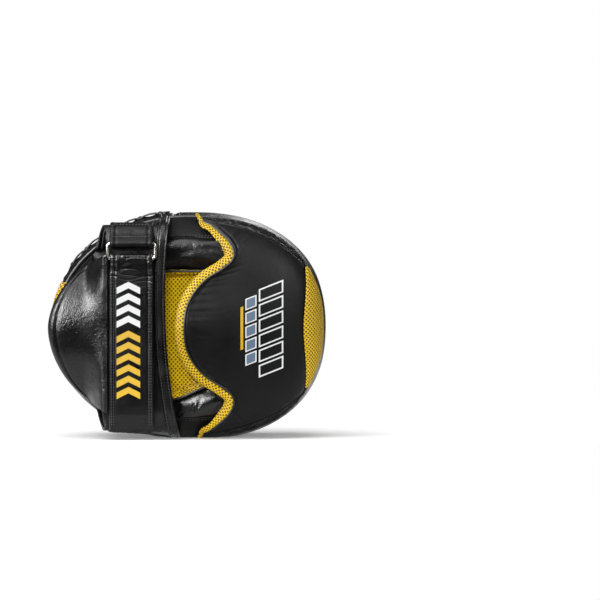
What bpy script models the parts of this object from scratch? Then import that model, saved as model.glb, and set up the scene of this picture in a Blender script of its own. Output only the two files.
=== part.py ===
"""Thick focus mitt for the left hand, standing on its long edge.

Row frame: +X toward the fingertips, +Z toward the laced edge, -Y toward the hand side.
Depth is measured in millimetres from the striking face toward the hand side.
"""
import math

import bpy

for old in list(bpy.data.objects):
    bpy.data.objects.remove(old, do_unlink=True)

MM = 0.001

# Drum (the block that takes the punches), in millimetres
HALF_LENGTH = 130.0
HALF_HEIGHT = 108.5
CENTRE_Z = 104.5
FACE_Y = 89.0
WRIST_POWER = 2.0
FINGER_POWER = 2.35
FACE_FLAT_DEPTH = 2.0
FACE_FLAT_INSET = 28.0
FACE_SEAM = 25.5
BACK_SEAM = 102.0
SEAM_INSET = 4.0
PANEL = 2.4
GAP = 0.3
CROSS_SEAM_ANGLE = 97.0
PATCH_RADIUS = 52.0

# Closure lacing on the laced edge
SLOT_LOW, SLOT_HIGH = 61.5, 69.5
LACE_PITCH = 19.5
LACE_WIDTH = 4.0
LACE_LOW, LACE_HIGH = 57.5, 73.5
LACE_RUNGS = 6

# Hand compartment
HAND_FLOOR = 102.3
HOOD_LENGTH = 123.5
HOOD_WIDTH = 103.0
HOOD_POWER = 2.2
HOOD_HEIGHT = 55.0
TONGUE_FLARE = 21.2
EDGE_LIFT = 4.5
LENS_HALF = 61.0
LENS_DEPTH = 0.125
GUSSET_START, GUSSET_END = 30.0, 86.0
ROLL_WIDTH = 7.5
CUFF_FRONT = -20.0
CUFF_BACK = -75.9
CUFF_HEIGHT = 54.7
CUFF_HALF = 99.0
CUFF_POWER = 7.0
CUFF_SKIN = 3.0
GUARD_TIP = -130.0
GUARD_RIDGE = 163.4
GUARD_DROP = 0.0096
GUARD_HINGE_X = -90.0
GUARD_THICK = 10.0
PALM_HALF = 49.3

# Strap and ring
STRAP_X = -51.85
STRAP_WIDTH = 41.5
FOLD_WIDTH = 39.4
BAR_DEPTH = 161.6
UPPER_BAR_Z = 184.0
LOWER_BAR_Z = 169.5
WIRE = 1.6
RING_HALF = 22.2
EYE_MID = 3.1
PEEL_Z = 161.0
TIP_Z = 90.0
STRAP_MID = 163.4
STRAP_THICK = 3.6
STRAP_END_Z = 10.0


def smooth(value, low, high):
    """0 below low, 1 above high, and a soft step between them."""
    t = min(1.0, max(0.0, (value - low) / (high - low)))
    return t * t * (3 - 2 * t)


def spread(low, high, count):
    return [low + (high - low) * i / (count - 1) for i in range(count)]


def place(x, depth, z):
    return (x * MM, (FACE_Y - depth) * MM, z * MM)


def material(name, colour, rough, metal=0.0):
    made = bpy.data.materials.new(name)
    made.use_nodes = True
    shader = made.node_tree.nodes["Principled BSDF"]
    shader.inputs["Base Color"].default_value = (*colour, 1.0)
    shader.inputs["Roughness"].default_value = rough
    shader.inputs["Metallic"].default_value = metal
    return made


def volume_of(points, faces):
    total = 0.0
    for face in faces:
        a = points[face[0]]
        for i in range(1, len(face) - 1):
            b, c = points[face[i]], points[face[i + 1]]
            total += a[0] * (b[1] * c[2] - b[2] * c[1])
            total += a[1] * (b[2] * c[0] - b[0] * c[2])
            total += a[2] * (b[0] * c[1] - b[1] * c[0])
    return total


def add(name, points, faces, finish):
    """One closed object from (x, depth, z) points, with its faces turned outward."""
    points = [place(*p) for p in points]
    if volume_of(points, faces) < 0:
        faces = [tuple(reversed(face)) for face in faces]
    mesh = bpy.data.meshes.new(name)
    mesh.from_pydata(points, [], faces)
    mesh.materials.append(material(name, *finish))
    mesh.validate()
    obj = bpy.data.objects.new(name, mesh)
    bpy.context.scene.collection.objects.link(obj)
    return obj


def add_stack(name, rings, finish):
    """A solid skinned over rings of equal count, closed at both ends."""
    count = len(rings[0])
    points = [p for ring in rings for p in ring]
    faces = [tuple(range(count)), tuple(range(len(points) - 1, len(points) - count - 1, -1))]
    for i in range(len(rings) - 1):
        for j in range(count):
            k = (j + 1) % count
            a, b = i * count, (i + 1) * count
            faces.append((a + j, b + j, b + k, a + k))
    return add(name, points, faces, finish)


def add_sheet(name, outer, inner, finish, skip=None):
    """A solid between two grids. Cells for which skip(i, j) is true stay open."""
    rows, cols = len(outer), len(outer[0])
    points = [p for row in outer for p in row] + [p for row in inner for p in row]
    under = rows * cols
    cells = {
        (i, j)
        for i in range(rows - 1)
        for j in range(cols - 1)
        if not (skip and skip(i, j))
    }
    faces = []
    for i, j in sorted(cells):
        a, b = i * cols + j, i * cols + j + 1
        c, d = (i + 1) * cols + j + 1, (i + 1) * cols + j
        faces.append((a, b, c, d))
        faces.append((under + d, under + c, under + b, under + a))
        for ends, near in (
            ((a, b), (i - 1, j)),
            ((b, c), (i, j + 1)),
            ((c, d), (i + 1, j)),
            ((d, a), (i, j - 1)),
        ):
            if near not in cells:
                faces.append((ends[1], ends[0], under + ends[0], under + ends[1]))
    used = sorted({v for face in faces for v in face})
    index = {v: n for n, v in enumerate(used)}
    return add(
        name,
        [points[v] for v in used],
        [tuple(index[v] for v in face) for face in faces],
        finish,
    )


def less(a, b):
    return (a[0] - b[0], a[1] - b[1], a[2] - b[2])


def moved(grid, centre, distance):
    """The grid moved along its own normals, away from centre when distance is positive."""
    rows, cols = len(grid), len(grid[0])
    result = []
    for i in range(rows):
        row = []
        for j in range(cols):
            u = less(grid[min(i + 1, rows - 1)][j], grid[max(i - 1, 0)][j])
            v = less(grid[i][min(j + 1, cols - 1)], grid[i][max(j - 1, 0)])
            n = (
                u[1] * v[2] - u[2] * v[1],
                u[2] * v[0] - u[0] * v[2],
                u[0] * v[1] - u[1] * v[0],
            )
            size = math.sqrt(sum(c * c for c in n)) or 1.0
            out = less(grid[i][j], centre)
            sign = 1.0 if sum(a * b for a, b in zip(n, out)) > 0 else -1.0
            move = sign * distance / size
            row.append(tuple(g + c * move for g, c in zip(grid[i][j], n)))
        result.append(row)
    return result


def add_layer(name, grid, centre, top, bottom, finish, skip=None, floor=None):
    outer, inner = moved(grid, centre, top), moved(grid, centre, bottom)
    if floor is not None:
        outer, inner = (
            [[(x, max(d, floor), max(z, base)) for x, d, z in row] for row in part]
            for part, base in ((outer, 0.0), (inner, 0.8))
        )
    return add_sheet(name, outer, inner, finish, skip)


def add_ribbon(name, path, thick, x_low, x_high, finish):
    """A flat strip following (depth, z) points, of the given thickness and X range."""
    left, right = [], []
    for i, (d, z) in enumerate(path):
        a, b = path[max(i - 1, 0)], path[min(i + 1, len(path) - 1)]
        dd, dz = b[0] - a[0], b[1] - a[1]
        size = math.hypot(dd, dz)
        nd, nz = -dz / size * thick / 2, dd / size * thick / 2
        left.append((d + nd, z + nz))
        right.append((d - nd, z - nz))
    outer = [[(x, *p) for p in left] for x in (x_low, x_high)]
    inner = [[(x, *p) for p in right] for x in (x_low, x_high)]
    return add_sheet(name, outer, inner, finish)


# Drum shape ---------------------------------------------------------------------------


def side_inset(depth):
    middle = (FACE_SEAM + BACK_SEAM) / 2
    half = (BACK_SEAM - FACE_SEAM) / 2
    return SEAM_INSET * ((depth - middle) / half) ** 2


def outline(angle, inset, floor=0.0):
    """(x, z) on the drum outline at an angle in degrees, moved inward by inset."""
    c, s = math.cos(math.radians(angle)), math.sin(math.radians(angle))
    n = FINGER_POWER if c > 0 else WRIST_POWER
    a, b = HALF_LENGTH - inset, HALF_HEIGHT - inset
    r = (abs(c / a) ** n + abs(s / b) ** n) ** (-1 / n)
    return r * c, max(CENTRE_Z + r * s, floor)


def rim_half(x, inset):
    """Half height of the drum outline at x, moved inward by inset."""
    n = FINGER_POWER if x > 0 else WRIST_POWER
    a, b = HALF_LENGTH - inset, HALF_HEIGHT - inset
    return b * max(0.0, 1 - abs(x / a) ** n) ** (1 / n)


def drum_ring(depth, under, count, inset=None):
    inset = side_inset(depth) + under if inset is None else inset
    ring = []
    for k in range(count):
        x, z = outline(360 * k / count, inset, max(under, 0.0))
        ring.append((x, depth, z))
    return ring


def face_rings(under, count, steps):
    """Rings over the rounded striking face, under millimetres below its surface."""
    rings = []
    for angle in spread(0, 90, steps):
        s, c = math.sin(math.radians(angle)), math.cos(math.radians(angle))
        inset = FACE_FLAT_INSET - (FACE_FLAT_INSET - SEAM_INSET - under) * s
        depth = FACE_SEAM - (FACE_SEAM - FACE_FLAT_DEPTH - under) * c
        rings.append(drum_ring(depth, under, count, inset))
    return rings


def side_grid(depths, angles, under):
    grid = []
    for depth in depths:
        row = []
        for angle in angles:
            x, z = outline(angle, side_inset(depth) + under, max(under, 0.0))
            row.append((x, depth, z))
        grid.append(row)
    return grid


BLACK_GLOSS = ((0.012, 0.012, 0.013), 0.35)
BLACK_MATTE = ((0.016, 0.016, 0.017), 0.6)
BLACK_CLOTH = ((0.010, 0.010, 0.011), 0.9)
YELLOW_MESH = ((0.80, 0.50, 0.03), 0.8)
FOAM = ((0.55, 0.55, 0.52), 0.9)
CREAM = ((0.75, 0.73, 0.66), 0.8)
STEEL = ((0.72, 0.71, 0.68), 0.25, 1.0)

outer_face = face_rings(0.0, 64, 7)
add_stack("striking_face_panel", outer_face + face_rings(PANEL, 64, 6)[::-1], BLACK_GLOSS)

disc = []
for depth, radius in ((0.0, 50.0), (0.4, 51.6), (1.7, PATCH_RADIUS)):
    disc.append([
        (
            radius * math.cos(2 * math.pi * k / 48),
            depth,
            CENTRE_Z + radius * math.sin(2 * math.pi * k / 48),
        )
        for k in range(48)
    ])
add_stack("target_patch", disc, BLACK_GLOSS)

SIDE_DEPTHS = [FACE_SEAM + GAP, 38.0, 50.0, SLOT_LOW, SLOT_HIGH, 80.0, 91.0, BACK_SEAM - GAP]
FINGER_ANGLES = spread(-CROSS_SEAM_ANGLE, CROSS_SEAM_ANGLE, 39)
WRIST_ANGLES = spread(CROSS_SEAM_ANGLE + 0.2, 360 - CROSS_SEAM_ANGLE - 0.2, 34)
SLOT_COLUMNS = range(2, 11)

add_sheet(
    "finger_sidewall_panel",
    side_grid(SIDE_DEPTHS, FINGER_ANGLES, 0.0),
    side_grid(SIDE_DEPTHS, FINGER_ANGLES, PANEL),
    BLACK_GLOSS,
)
add_sheet(
    "wrist_sidewall_panel",
    side_grid(SIDE_DEPTHS, WRIST_ANGLES, 0.0),
    side_grid(SIDE_DEPTHS, WRIST_ANGLES, PANEL),
    BLACK_GLOSS,
    skip=lambda i, j: i == 3 and j in SLOT_COLUMNS,
)

slot_angles = [WRIST_ANGLES[j] for j in SLOT_COLUMNS] + [WRIST_ANGLES[SLOT_COLUMNS[-1] + 1]]
slot_angles[0] += 0.3
slot_angles[-1] -= 0.3
slot_depths = [SLOT_LOW + GAP, SLOT_HIGH - GAP]
add_sheet(
    "closure_underlay",
    side_grid(slot_depths, slot_angles, 0.8),
    side_grid(slot_depths, slot_angles, 2.3),
    BLACK_CLOTH,
)


def angle_along(distance, depth):
    """The angle whose point is this far round the outline from the cross seam."""
    angle, gone = CROSS_SEAM_ANGLE + 4.0, 0.0
    last = outline(angle, side_inset(depth))
    while gone < distance:
        angle += 0.02
        here = outline(angle, side_inset(depth))
        gone += math.dist(last, here)
        last = here
    return angle


lace_angles = []
for rung in range(LACE_RUNGS):
    start = rung * LACE_PITCH
    lace_angles += [angle_along(start, 65), angle_along(start + LACE_WIDTH, 65)]
    if rung < LACE_RUNGS - 1:
        lace_angles.append(angle_along(start + (LACE_PITCH + LACE_WIDTH) / 2, 65))
lace_depths = [LACE_LOW, LACE_LOW + 2.6, LACE_HIGH - 2.6, LACE_HIGH]
add_sheet(
    "closure_lace",
    side_grid(lace_depths, lace_angles, -2.0),
    side_grid(lace_depths, lace_angles, -0.4),
    BLACK_CLOTH,
    skip=lambda i, j: i == 1 and j % 3 != 0,
)

add_stack(
    "impact_foam_layer",
    face_rings(PANEL + 0.4, 48, 5) + [drum_ring(d, PANEL + 0.4, 48) for d in (36, 48)],
    FOAM,
)
add_stack(
    "core_foam_block",
    [drum_ring(d, PANEL + 0.4, 48) for d in (48.4, 64, 80, 95.6)],
    FOAM,
)
add_stack(
    "back_stiffener_board",
    [drum_ring(d, PANEL + 0.8, 48) for d in (96.0, 98.6)],
    ((0.30, 0.25, 0.18), 0.8),
)
add_stack(
    "back_cover_panel",
    [drum_ring(d, PANEL + 0.5, 48) for d in (99.0, 101.7)],
    BLACK_MATTE,
)

# Hood over the fingers ----------------------------------------------------------------

# Half of the wavy hood edge: side distance from the middle, then X.
HOOD_EDGE = (
    (0.0, -2.0), (17.5, 0.0), (32.0, 6.6), (45.0, 18.0), (54.5, 33.0),
    (63.0, 42.4), (72.0, 44.0), (83.0, 38.0), (96.0, 23.0), (101.0, 10.0),
)
HOOD_CENTRE = (35.0, 90.0, CENTRE_Z)


def curve_through(points, steps):
    """A smooth line through points, with steps parts between each pair."""
    result = []
    last = len(points) - 1
    for i in range(last):
        p = [points[max(i - 1, 0)], points[i], points[i + 1], points[min(i + 2, last)]]
        for k in range(steps):
            t = k / steps
            w = (
                -t / 2 + t * t - t**3 / 2,
                1 - 2.5 * t * t + 1.5 * t**3,
                t / 2 + 2 * t * t - 1.5 * t**3,
                -t * t / 2 + t**3 / 2,
            )
            result.append(tuple(sum(a * q[c] for a, q in zip(w, p)) for c in (0, 1)))
    return result + [points[-1]]


def resampled(points, count):
    lengths = [0.0]
    for a, b in zip(points, points[1:]):
        lengths.append(lengths[-1] + math.dist(a, b))
    result, k = [], 0
    for want in spread(0, lengths[-1], count):
        while k < len(points) - 2 and lengths[k + 1] < want:
            k += 1
        t = (want - lengths[k]) / (lengths[k + 1] - lengths[k])
        result.append(tuple(a + (b - a) * t for a, b in zip(points[k], points[k + 1])))
    return result


def hood_reach(x, side):
    """1 on the hood's outer rim, 0 at the middle of the mitt."""
    return (abs(x / HOOD_LENGTH) ** HOOD_POWER + abs(side / HOOD_WIDTH) ** HOOD_POWER) ** (
        1 / HOOD_POWER
    )


def hood_depth(x, side, edge_distance):
    reach = min(hood_reach(x, side), 1.0)
    flare = math.exp(-(max(x + 3, 0) / 41.4) ** 1.21) * math.exp(-((side / 40) ** 2))
    height = HOOD_HEIGHT + TONGUE_FLARE * flare
    dome = height * (1 - reach**HOOD_POWER) ** (1 / HOOD_POWER)
    lift = EDGE_LIFT * math.exp(-edge_distance / 13) * (1 - flare) * (1 - smooth(reach, 0.8, 1))
    return BACK_SEAM + dome + lift


def hood_rim(angle):
    c, s = math.cos(math.radians(angle)), math.sin(math.radians(angle))
    r = 1 / hood_reach(c, s)
    return r * c, r * s


def hood_lines(count):
    """Pairs of edge point and rim point, from the low side to the high side."""
    half = resampled(curve_through(HOOD_EDGE, 6), count)
    pairs = []
    for k in range(-(count - 1), count):
        side, x = half[abs(k)]
        side = math.copysign(side, k)
        pairs.append(((x, side), hood_rim(84.0 * k / (count - 1))))
    return pairs


def lens_share(side):
    return LENS_DEPTH * max(0.0, 1 - (side / LENS_HALF) ** 2)


def gusset_share(angle):
    """How far the glossy gusset reaches in from the rim at an angle in degrees."""
    return 0.085 * math.sin(math.pi * smooth_ramp(abs(angle), GUSSET_START, GUSSET_END)) ** 0.7


def smooth_ramp(value, low, high):
    return min(1.0, max(0.0, (value - low) / (high - low)))


def hood_grid(count, low, high, steps):
    """Surface rows across the hood between two shares of the way from edge to rim."""
    grid = []
    for (ex, es), (rx, rs) in hood_lines(count):
        angle = math.degrees(math.atan2(rs, rx))
        share = 1 - max(lens_share(rs), gusset_share(angle) + 0.008)
        rx, rs = rx * share, rs * share
        width = math.dist((ex, es), (rx, rs))
        row = []
        for t in spread(low, high, steps):
            t = min(t, 1.0)
            x, side = ex + (rx - ex) * t, es + (rs - es) * t
            row.append((x, hood_depth(x, side, t * width), CENTRE_Z + side))
        grid.append(row)
    return grid


hood = hood_grid(20, 0.0, 1.0, 11)
add_layer(
    "finger_hood_shell", hood, HOOD_CENTRE, 0.0, -3.0, BLACK_MATTE, floor=BACK_SEAM + GAP
)
inner_hood = hood_grid(20, 0.12, 1.0, 11)[6:-6]
inner_hood = [row[:8] for row in inner_hood]
add_layer("finger_hood_lining", inner_hood, HOOD_CENTRE, -3.7, -8.5, YELLOW_MESH)

roll = []
edge_line = [pair[0] for pair in hood_lines(28)]
for k in range(3, len(edge_line) - 3):
    (x0, s0), (x1, s1) = edge_line[k - 1], edge_line[k + 1]
    ex, es = edge_line[k]
    size = math.hypot(x1 - x0, s1 - s0)
    nx, ns = -(s1 - s0) / size, (x1 - x0) / size
    width = 2.4 + (ROLL_WIDTH - 2.4) * smooth(102 - abs(es), 2, 26)
    base = hood_depth(ex, es, 0) - 0.4
    row = []
    for t, drop in ((0.0, 0.0), (0.3, 0.7), (0.7, 2.4), (1.0, 5.0)):
        out = 2.6 + (width - 2.2) * t
        depth = base - drop * width / ROLL_WIDTH
        row.append((ex + nx * out, depth, CENTRE_Z + es + ns * out))
    roll.append(row)
roll_under = [
    [
        (x, max(row[0][1] - 1.25 * (row[0][1] - row[-1][1]) - 0.9 + 0.5 * i, 104.0), z)
        for i, (x, depth, z) in enumerate(row)
    ]
    for row in roll
]
add_sheet("hood_edge_roll", roll, roll_under, YELLOW_MESH)

for name, sign in (("upper_hood_gusset", 1), ("lower_hood_gusset", -1)):
    gusset = []
    for angle in spread(GUSSET_START + 2.5, GUSSET_END - 2.5, 15):
        rx, rs = hood_rim(sign * angle)
        row = []
        for t in spread(0.0, 1.0, 4):
            k = 0.9994 - gusset_share(angle) * t
            row.append((rx * k, hood_depth(rx * k, rs * k, 60), CENTRE_Z + rs * k))
        gusset.append(row)
    add_layer(
        name, gusset, HOOD_CENTRE, 0.0, -2.6, BLACK_GLOSS, floor=BACK_SEAM + GAP
    )

lens = []
for angle in spread(-26.5, 26.5, 17):
    rx, rs = hood_rim(angle)
    share = lens_share(rs)
    row = []
    for t in spread(0.0, 1.0, 5):
        k = 1 - share + (share - 0.0006) * t + 0.006 * (1 - t) * min(1.0, share / 0.02)
        row.append((rx * k, hood_depth(rx * k, rs * k, 60), CENTRE_Z + rs * k))
    lens.append(row)
add_layer(
    "finger_end_mesh_panel", lens, HOOD_CENTRE, 0.0, -2.6, YELLOW_MESH,
    floor=BACK_SEAM + GAP,
)

# Palm, heel and side rolls ------------------------------------------------------------


def palm_half(x):
    return PALM_HALF + (max(rim_half(x, 7.0), 1.0) - PALM_HALF) * smooth(-x, 73, 92)


def palm_depth(x, side):
    """Height of the palm surface, a flat floor that rises into the heel cushion."""
    height = 20.5 + 10.0 * smooth(-x, 74, 98) - 10.0 * smooth(x, 30, 100)
    end = 1 - min(1.0, max(0.0, (-x - 100) / 25.5)) ** 2.5
    power = 12 - 9.7 * smooth(-x, 73, 92)
    across = 1 - min(1.0, abs(side / palm_half(x))) ** power
    return HAND_FLOOR + height * end ** 0.5 * across ** (1 / power)


def mesh_half(x):
    """Half width of the mesh on the palm, narrowing to a rounded end on the heel."""
    wide = palm_half(x) * (0.93 - 0.2 * smooth(-x, 74, 96))
    return max(wide * max(0.0, 1 - max(0.0, (-x - 96) / 24.0) ** 2.2) ** 0.5, 2.0)


PALM_XS = [-120, -117, -112, -106, -99, -92, -84, -78, -73, -62, -40, 0, 40, 70, 92, 104]
palm_rings = []
for x in PALM_XS:
    half = palm_half(x)
    top = []
    for f in (-1, -0.98, -0.9, -0.72, -0.4, 0, 0.4, 0.72, 0.9, 0.98, 1):
        under = 2.1 + 1.4 * smooth(-x, 78, 95)
        depth = max(palm_depth(x, f * half) - under, HAND_FLOOR + 0.6)
        top.append((x, depth, CENTRE_Z + f * half * 0.985))
    ends = [(x, HAND_FLOOR, top[-1][2]), (x, HAND_FLOOR, top[0][2])]
    palm_rings.append(top + ends)
add_stack("palm_foam_cushion", palm_rings, FOAM)

MESH_XS = [-119, -117, -113, -107, -100, -92, -84, -76, -66, -40, 0, 40, 70, 92, 103]
mesh_grid = []
for x in MESH_XS:
    row = []
    for f in spread(-1, 1, 9):
        side = f * mesh_half(x)
        row.append((x, palm_depth(x, side), CENTRE_Z + side))
    mesh_grid.append(row)
mesh_under = [[(x, d - 1.6, z) for x, d, z in row] for row in mesh_grid]
add_sheet("palm_mesh_cover", mesh_grid, mesh_under, YELLOW_MESH)


def heel_line(t):
    """Inner (mesh edge) and outer (rim) points, t from 0 at the low side to 1."""
    x = -89.0 - 30.6 * math.sin(math.pi * t) ** 0.8
    side = -math.cos(math.pi * t)
    inner = (x - 1.0, math.copysign(mesh_half(x) + 1.2, side) if abs(side) > 0.02 else 0.0)
    angle = math.degrees(math.atan2(palm_half(-89.0) * 1.0, 89.0))
    around = 180 + (180 - 2 * angle) * 0 + angle * (1 - 2 * t)
    ox, oz = outline(around, 6.4)
    return inner, (ox, oz - CENTRE_Z)


heel = []
for t in spread(0.0, 1.0, 21):
    (ix, iside), (ox, oside) = heel_line(t)
    row = []
    for s in spread(0.0, 1.0, 5):
        x, side = ix + (ox - ix) * s, iside + (oside - iside) * s
        row.append((x, max(palm_depth(x, side), HAND_FLOOR + 2.0), CENTRE_Z + side))
    heel.append(row)
heel_under = [[(x, d - 1.6, z) for x, d, z in row] for row in heel]
add_sheet("heel_side_cover", heel, heel_under, BLACK_GLOSS)


def hood_edge_x(side):
    side = min(abs(side), HOOD_EDGE[-1][0])
    for (s0, x0), (s1, x1) in zip(HOOD_EDGE, HOOD_EDGE[1:]):
        if side <= s1:
            return x0 + (x1 - x0) * (side - s0) / (s1 - s0)
    return HOOD_EDGE[-1][1]


def roll_ring(x, sign, crest, inner):
    """Section of a side roll: outer wall foot, crest, then down into the palm channel."""
    foot = rim_half(x, 5.0) - 10.0
    top = max(rim_half(x, 5.0) - 23.6, inner + 6.0)
    width = top - inner
    rise = min(1.0, width / 28.0)
    edge = hood_edge_x(top - width / 2)
    under_hood = smooth(x, edge - 28, edge - 9)
    peak = 126 + (crest - 126) * rise - 15 * under_hood
    shoulder = peak - 13.5 * rise
    middle = inner + 0.49 * width
    section = [(HAND_FLOOR, foot), (shoulder, top)]
    for a in spread(15, 90, 5):
        s, c = math.sin(math.radians(a)), math.cos(math.radians(a))
        section.append((shoulder + (peak - shoulder) * s, middle + (top - middle) * c))
    for a in spread(75, 0, 5):
        s, c = math.sin(math.radians(a)), math.cos(math.radians(a))
        low = min(124.0, peak - 6)
        section.append((low + (peak - low) * s, middle - (middle - inner) * c))
    section.append((HAND_FLOOR, inner))
    ring = []
    for depth, side in section:
        if x > 30 and depth > HAND_FLOOR:
            roof = hood_depth(x, side, 99) - 11.5
            depth = min(depth, max(roof, HAND_FLOOR + 1.0))
        ring.append((x, depth, CENTRE_Z + sign * side))
    return ring


ROLL_XS = [-72, -66, -56, -42, -26, -14, -2, 10, 20, 28, 36, 44, 52, 60]
add_stack("upper_bolster", [roll_ring(x, 1, 148, 50) for x in ROLL_XS], BLACK_GLOSS)
add_stack(
    "lower_bolster",
    [roll_ring(x, -1, 145, 50 + 12 * (1 - smooth(x, -20, 26))) for x in ROLL_XS],
    BLACK_GLOSS,
)


def wall_grid(sign):
    grid = []
    for s in spread(0.0, 1.0, 7):
        row = []
        for t in spread(0.0, 1.0, 9):
            low = -8.0 if sign < 0 else -15.0
            high = hood_edge_x(103.6 - 21.0 * s) - 7.5 - 9.0 * math.sin(math.pi * s)
            x = low + (high - low) * t
            side = rim_half(x, 4.6) - 21.0 * s
            bow = 1.2 * math.sin(math.pi * s)
            row.append((x, HAND_FLOOR + 34.5 * s + bow, CENTRE_Z + sign * (side + bow)))
        grid.append(row)
    return grid


WALL_CENTRE = (0.0, 60.0, CENTRE_Z)
add_layer(
    "upper_side_wall", wall_grid(1), WALL_CENTRE, 0.0, -2.0, BLACK_MATTE, floor=HAND_FLOOR
)
add_layer(
    "lower_side_wall", wall_grid(-1), WALL_CENTRE, 0.0, -2.0, BLACK_MATTE, floor=HAND_FLOOR
)

# Cuff over the back of the hand -------------------------------------------------------

ARCH = []
for a in spread(0.0, 180.0, 361):
    c, s = math.cos(math.radians(a)), math.sin(math.radians(a))
    ARCH.append((
        -math.copysign(abs(c) ** (2 / CUFF_POWER), c),
        abs(s) ** (2 / CUFF_POWER),
    ))
ARCH = [(u * CUFF_HALF, v * CUFF_HEIGHT) for u, v in ARCH]
ARCH = [(u / CUFF_HALF, v / CUFF_HEIGHT) for u, v in resampled(ARCH, 41)]


def arch_point(x, u, v):
    """(x, depth, z) on the cuff, whose foot follows the drum and whose top is wider."""
    foot = rim_half(x, 4.6)
    half = foot + (CUFF_HALF - foot) * smooth(v, 0.0, 0.85)
    return x, HAND_FLOOR + CUFF_HEIGHT * v, max(CENTRE_Z + half * u, 0.0)


def arch_depth(side):
    return HAND_FLOOR + CUFF_HEIGHT * (1 - abs(side / CUFF_HALF) ** CUFF_POWER) ** (
        1 / CUFF_POWER
    )


def cuff_front(u):
    return CUFF_FRONT - 1.5 + 8.0 * u * u - 4.5 * u


def cuff_back(v, reach=13.0):
    return CUFF_BACK - reach * (1 - min(v / 0.9, 1.0))


def cuff_grid(front, back, steps, points):
    grid = []
    for u, v in points:
        low, high = back(u, v), front(u, v)
        grid.append([arch_point(x, u, v) for x in spread(low, high, steps)])
    return grid


CUFF_CENTRE = (-50.0, 85.0, CENTRE_Z)
add_layer(
    "cuff_arch_shell",
    cuff_grid(lambda u, v: cuff_front(u), lambda u, v: cuff_back(v), 6, ARCH),
    CUFF_CENTRE, 0.0, -CUFF_SKIN, BLACK_GLOSS, floor=HAND_FLOOR,
)
add_layer(
    "cuff_lining",
    cuff_grid(
        lambda u, v: cuff_front(u) - 1.0, lambda u, v: cuff_back(v, 8.0) + 1.0, 5, ARCH[2:-2]
    ),
    CUFF_CENTRE, -CUFF_SKIN - 1.0, -CUFF_SKIN - 3.0, BLACK_CLOTH, floor=HAND_FLOOR,
)
add_layer(
    "cuff_front_binding",
    cuff_grid(
        lambda u, v: cuff_front(u) + 1.5, lambda u, v: cuff_front(u) - 8.8, 3, ARCH[1:-1]
    ),
    CUFF_CENTRE, 2.8, 0.5, BLACK_MATTE, floor=HAND_FLOOR,
)
add_layer(
    "loop_fastener_panel",
    cuff_grid(
        lambda u, v: -40.0 + 9.0 * v, lambda u, v: -84.0 + 14.0 * v, 4, [p for p in ARCH[2:] if p[0] < 0 and p[1] < 0.8]
    ),
    CUFF_CENTRE, 1.9, 0.5, BLACK_CLOTH,
)

# Wrist guard --------------------------------------------------------------------------


def guard_edge(x, sign):
    """Side distance of the guard's edge at x."""
    wide = 71.0 if sign > 0 else 82.0
    t = min(1.0, max(0.0, (-60.0 - x) / (-60.0 - GUARD_TIP)))
    return sign * wide * max(0.0, 1 - t**1.8) ** (1 / 1.8)


def guard_depth(x, side):
    tip = 1.5 * smooth(-x, 115, 130)
    return GUARD_RIDGE - tip - GUARD_DROP * side * side * smooth(-x, 77.5, 98)


def guard_base_grid():
    grid = []
    for x in [CUFF_BACK - 0.4] + spread(CUFF_BACK - 1.5, GUARD_HINGE_X + 0.4, 5):
        low, high = guard_edge(x, -1), guard_edge(x, 1)
        grid.append([(x, guard_depth(x, s), CENTRE_Z + s) for s in spread(low, high, 19)])
    return grid


def guard_flap_grid(shrink, steps):
    """Lines from the hinge line out to the rounded edge of the flap."""
    low, high = guard_edge(GUARD_HINGE_X, -1) + shrink, guard_edge(GUARD_HINGE_X, 1) - shrink
    grid = []
    for k in range(19):
        f = -1 + k / 9
        start_side = (low + (high - low) * (f + 1) / 2) * (0.96 if abs(f) == 1 else 1.0)
        bend = math.asin(f * 0.995)
        reach = -GUARD_TIP + GUARD_HINGE_X - shrink
        x_end = GUARD_HINGE_X - 3 - (reach - 3) * math.cos(bend) ** 0.9
        end_side = guard_edge(x_end - 0.01, 1 if f > 0 else -1)
        if abs(f) < 1e-6:
            end_side = 0.0
        end_side -= math.copysign(min(shrink, abs(end_side)), end_side)
        row = []
        for t in spread(0.0, 1.0, steps):
            x = GUARD_HINGE_X + (x_end - GUARD_HINGE_X) * t
            side = start_side + (end_side - start_side) * t
            row.append((x, guard_depth(x, side), CENTRE_Z + side))
        grid.append(row)
    return grid


def guard_under(side):
    """Thickness of the padded guard, which thins toward its side edges."""
    return GUARD_THICK * (1 - 0.45 * min(1.0, (side / 66) ** 2))


def add_guard(name, grid, top, bottom, finish):
    """A guard layer between two shares of the thickness, square along its hinge side."""
    outer, inner = (
        [
            [(x, d - share * guard_under(z - CENTRE_Z) - drop, z) for x, d, z in row]
            for row in grid
        ]
        for share, drop in (top, bottom)
    )
    add_sheet(name, outer, inner, finish)


add_guard("wrist_guard_base", guard_base_grid(), (0, 0), (1, 0), BLACK_GLOSS)
add_guard("wrist_guard_flap", guard_flap_grid(0.0, 7), (0, 0), (1, 0), BLACK_GLOSS)
add_guard("wrist_guard_lining", guard_flap_grid(6.0, 7), (1, 1.8), (1, 3.2), BLACK_CLOTH)

# Ring, tab and strap ------------------------------------------------------------------


def turn_round(z, start, end, steps):
    """(depth, z) points on the eye round a ring bar, angle 0 pointing at +Z."""
    return [
        (
            BAR_DEPTH + EYE_MID * math.sin(math.radians(a)),
            z + EYE_MID * math.cos(math.radians(a)),
        )
        for a in spread(start, end, steps)
    ]


def on_arch(z, above):
    return arch_depth(z - CENTRE_Z) + above, z


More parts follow.
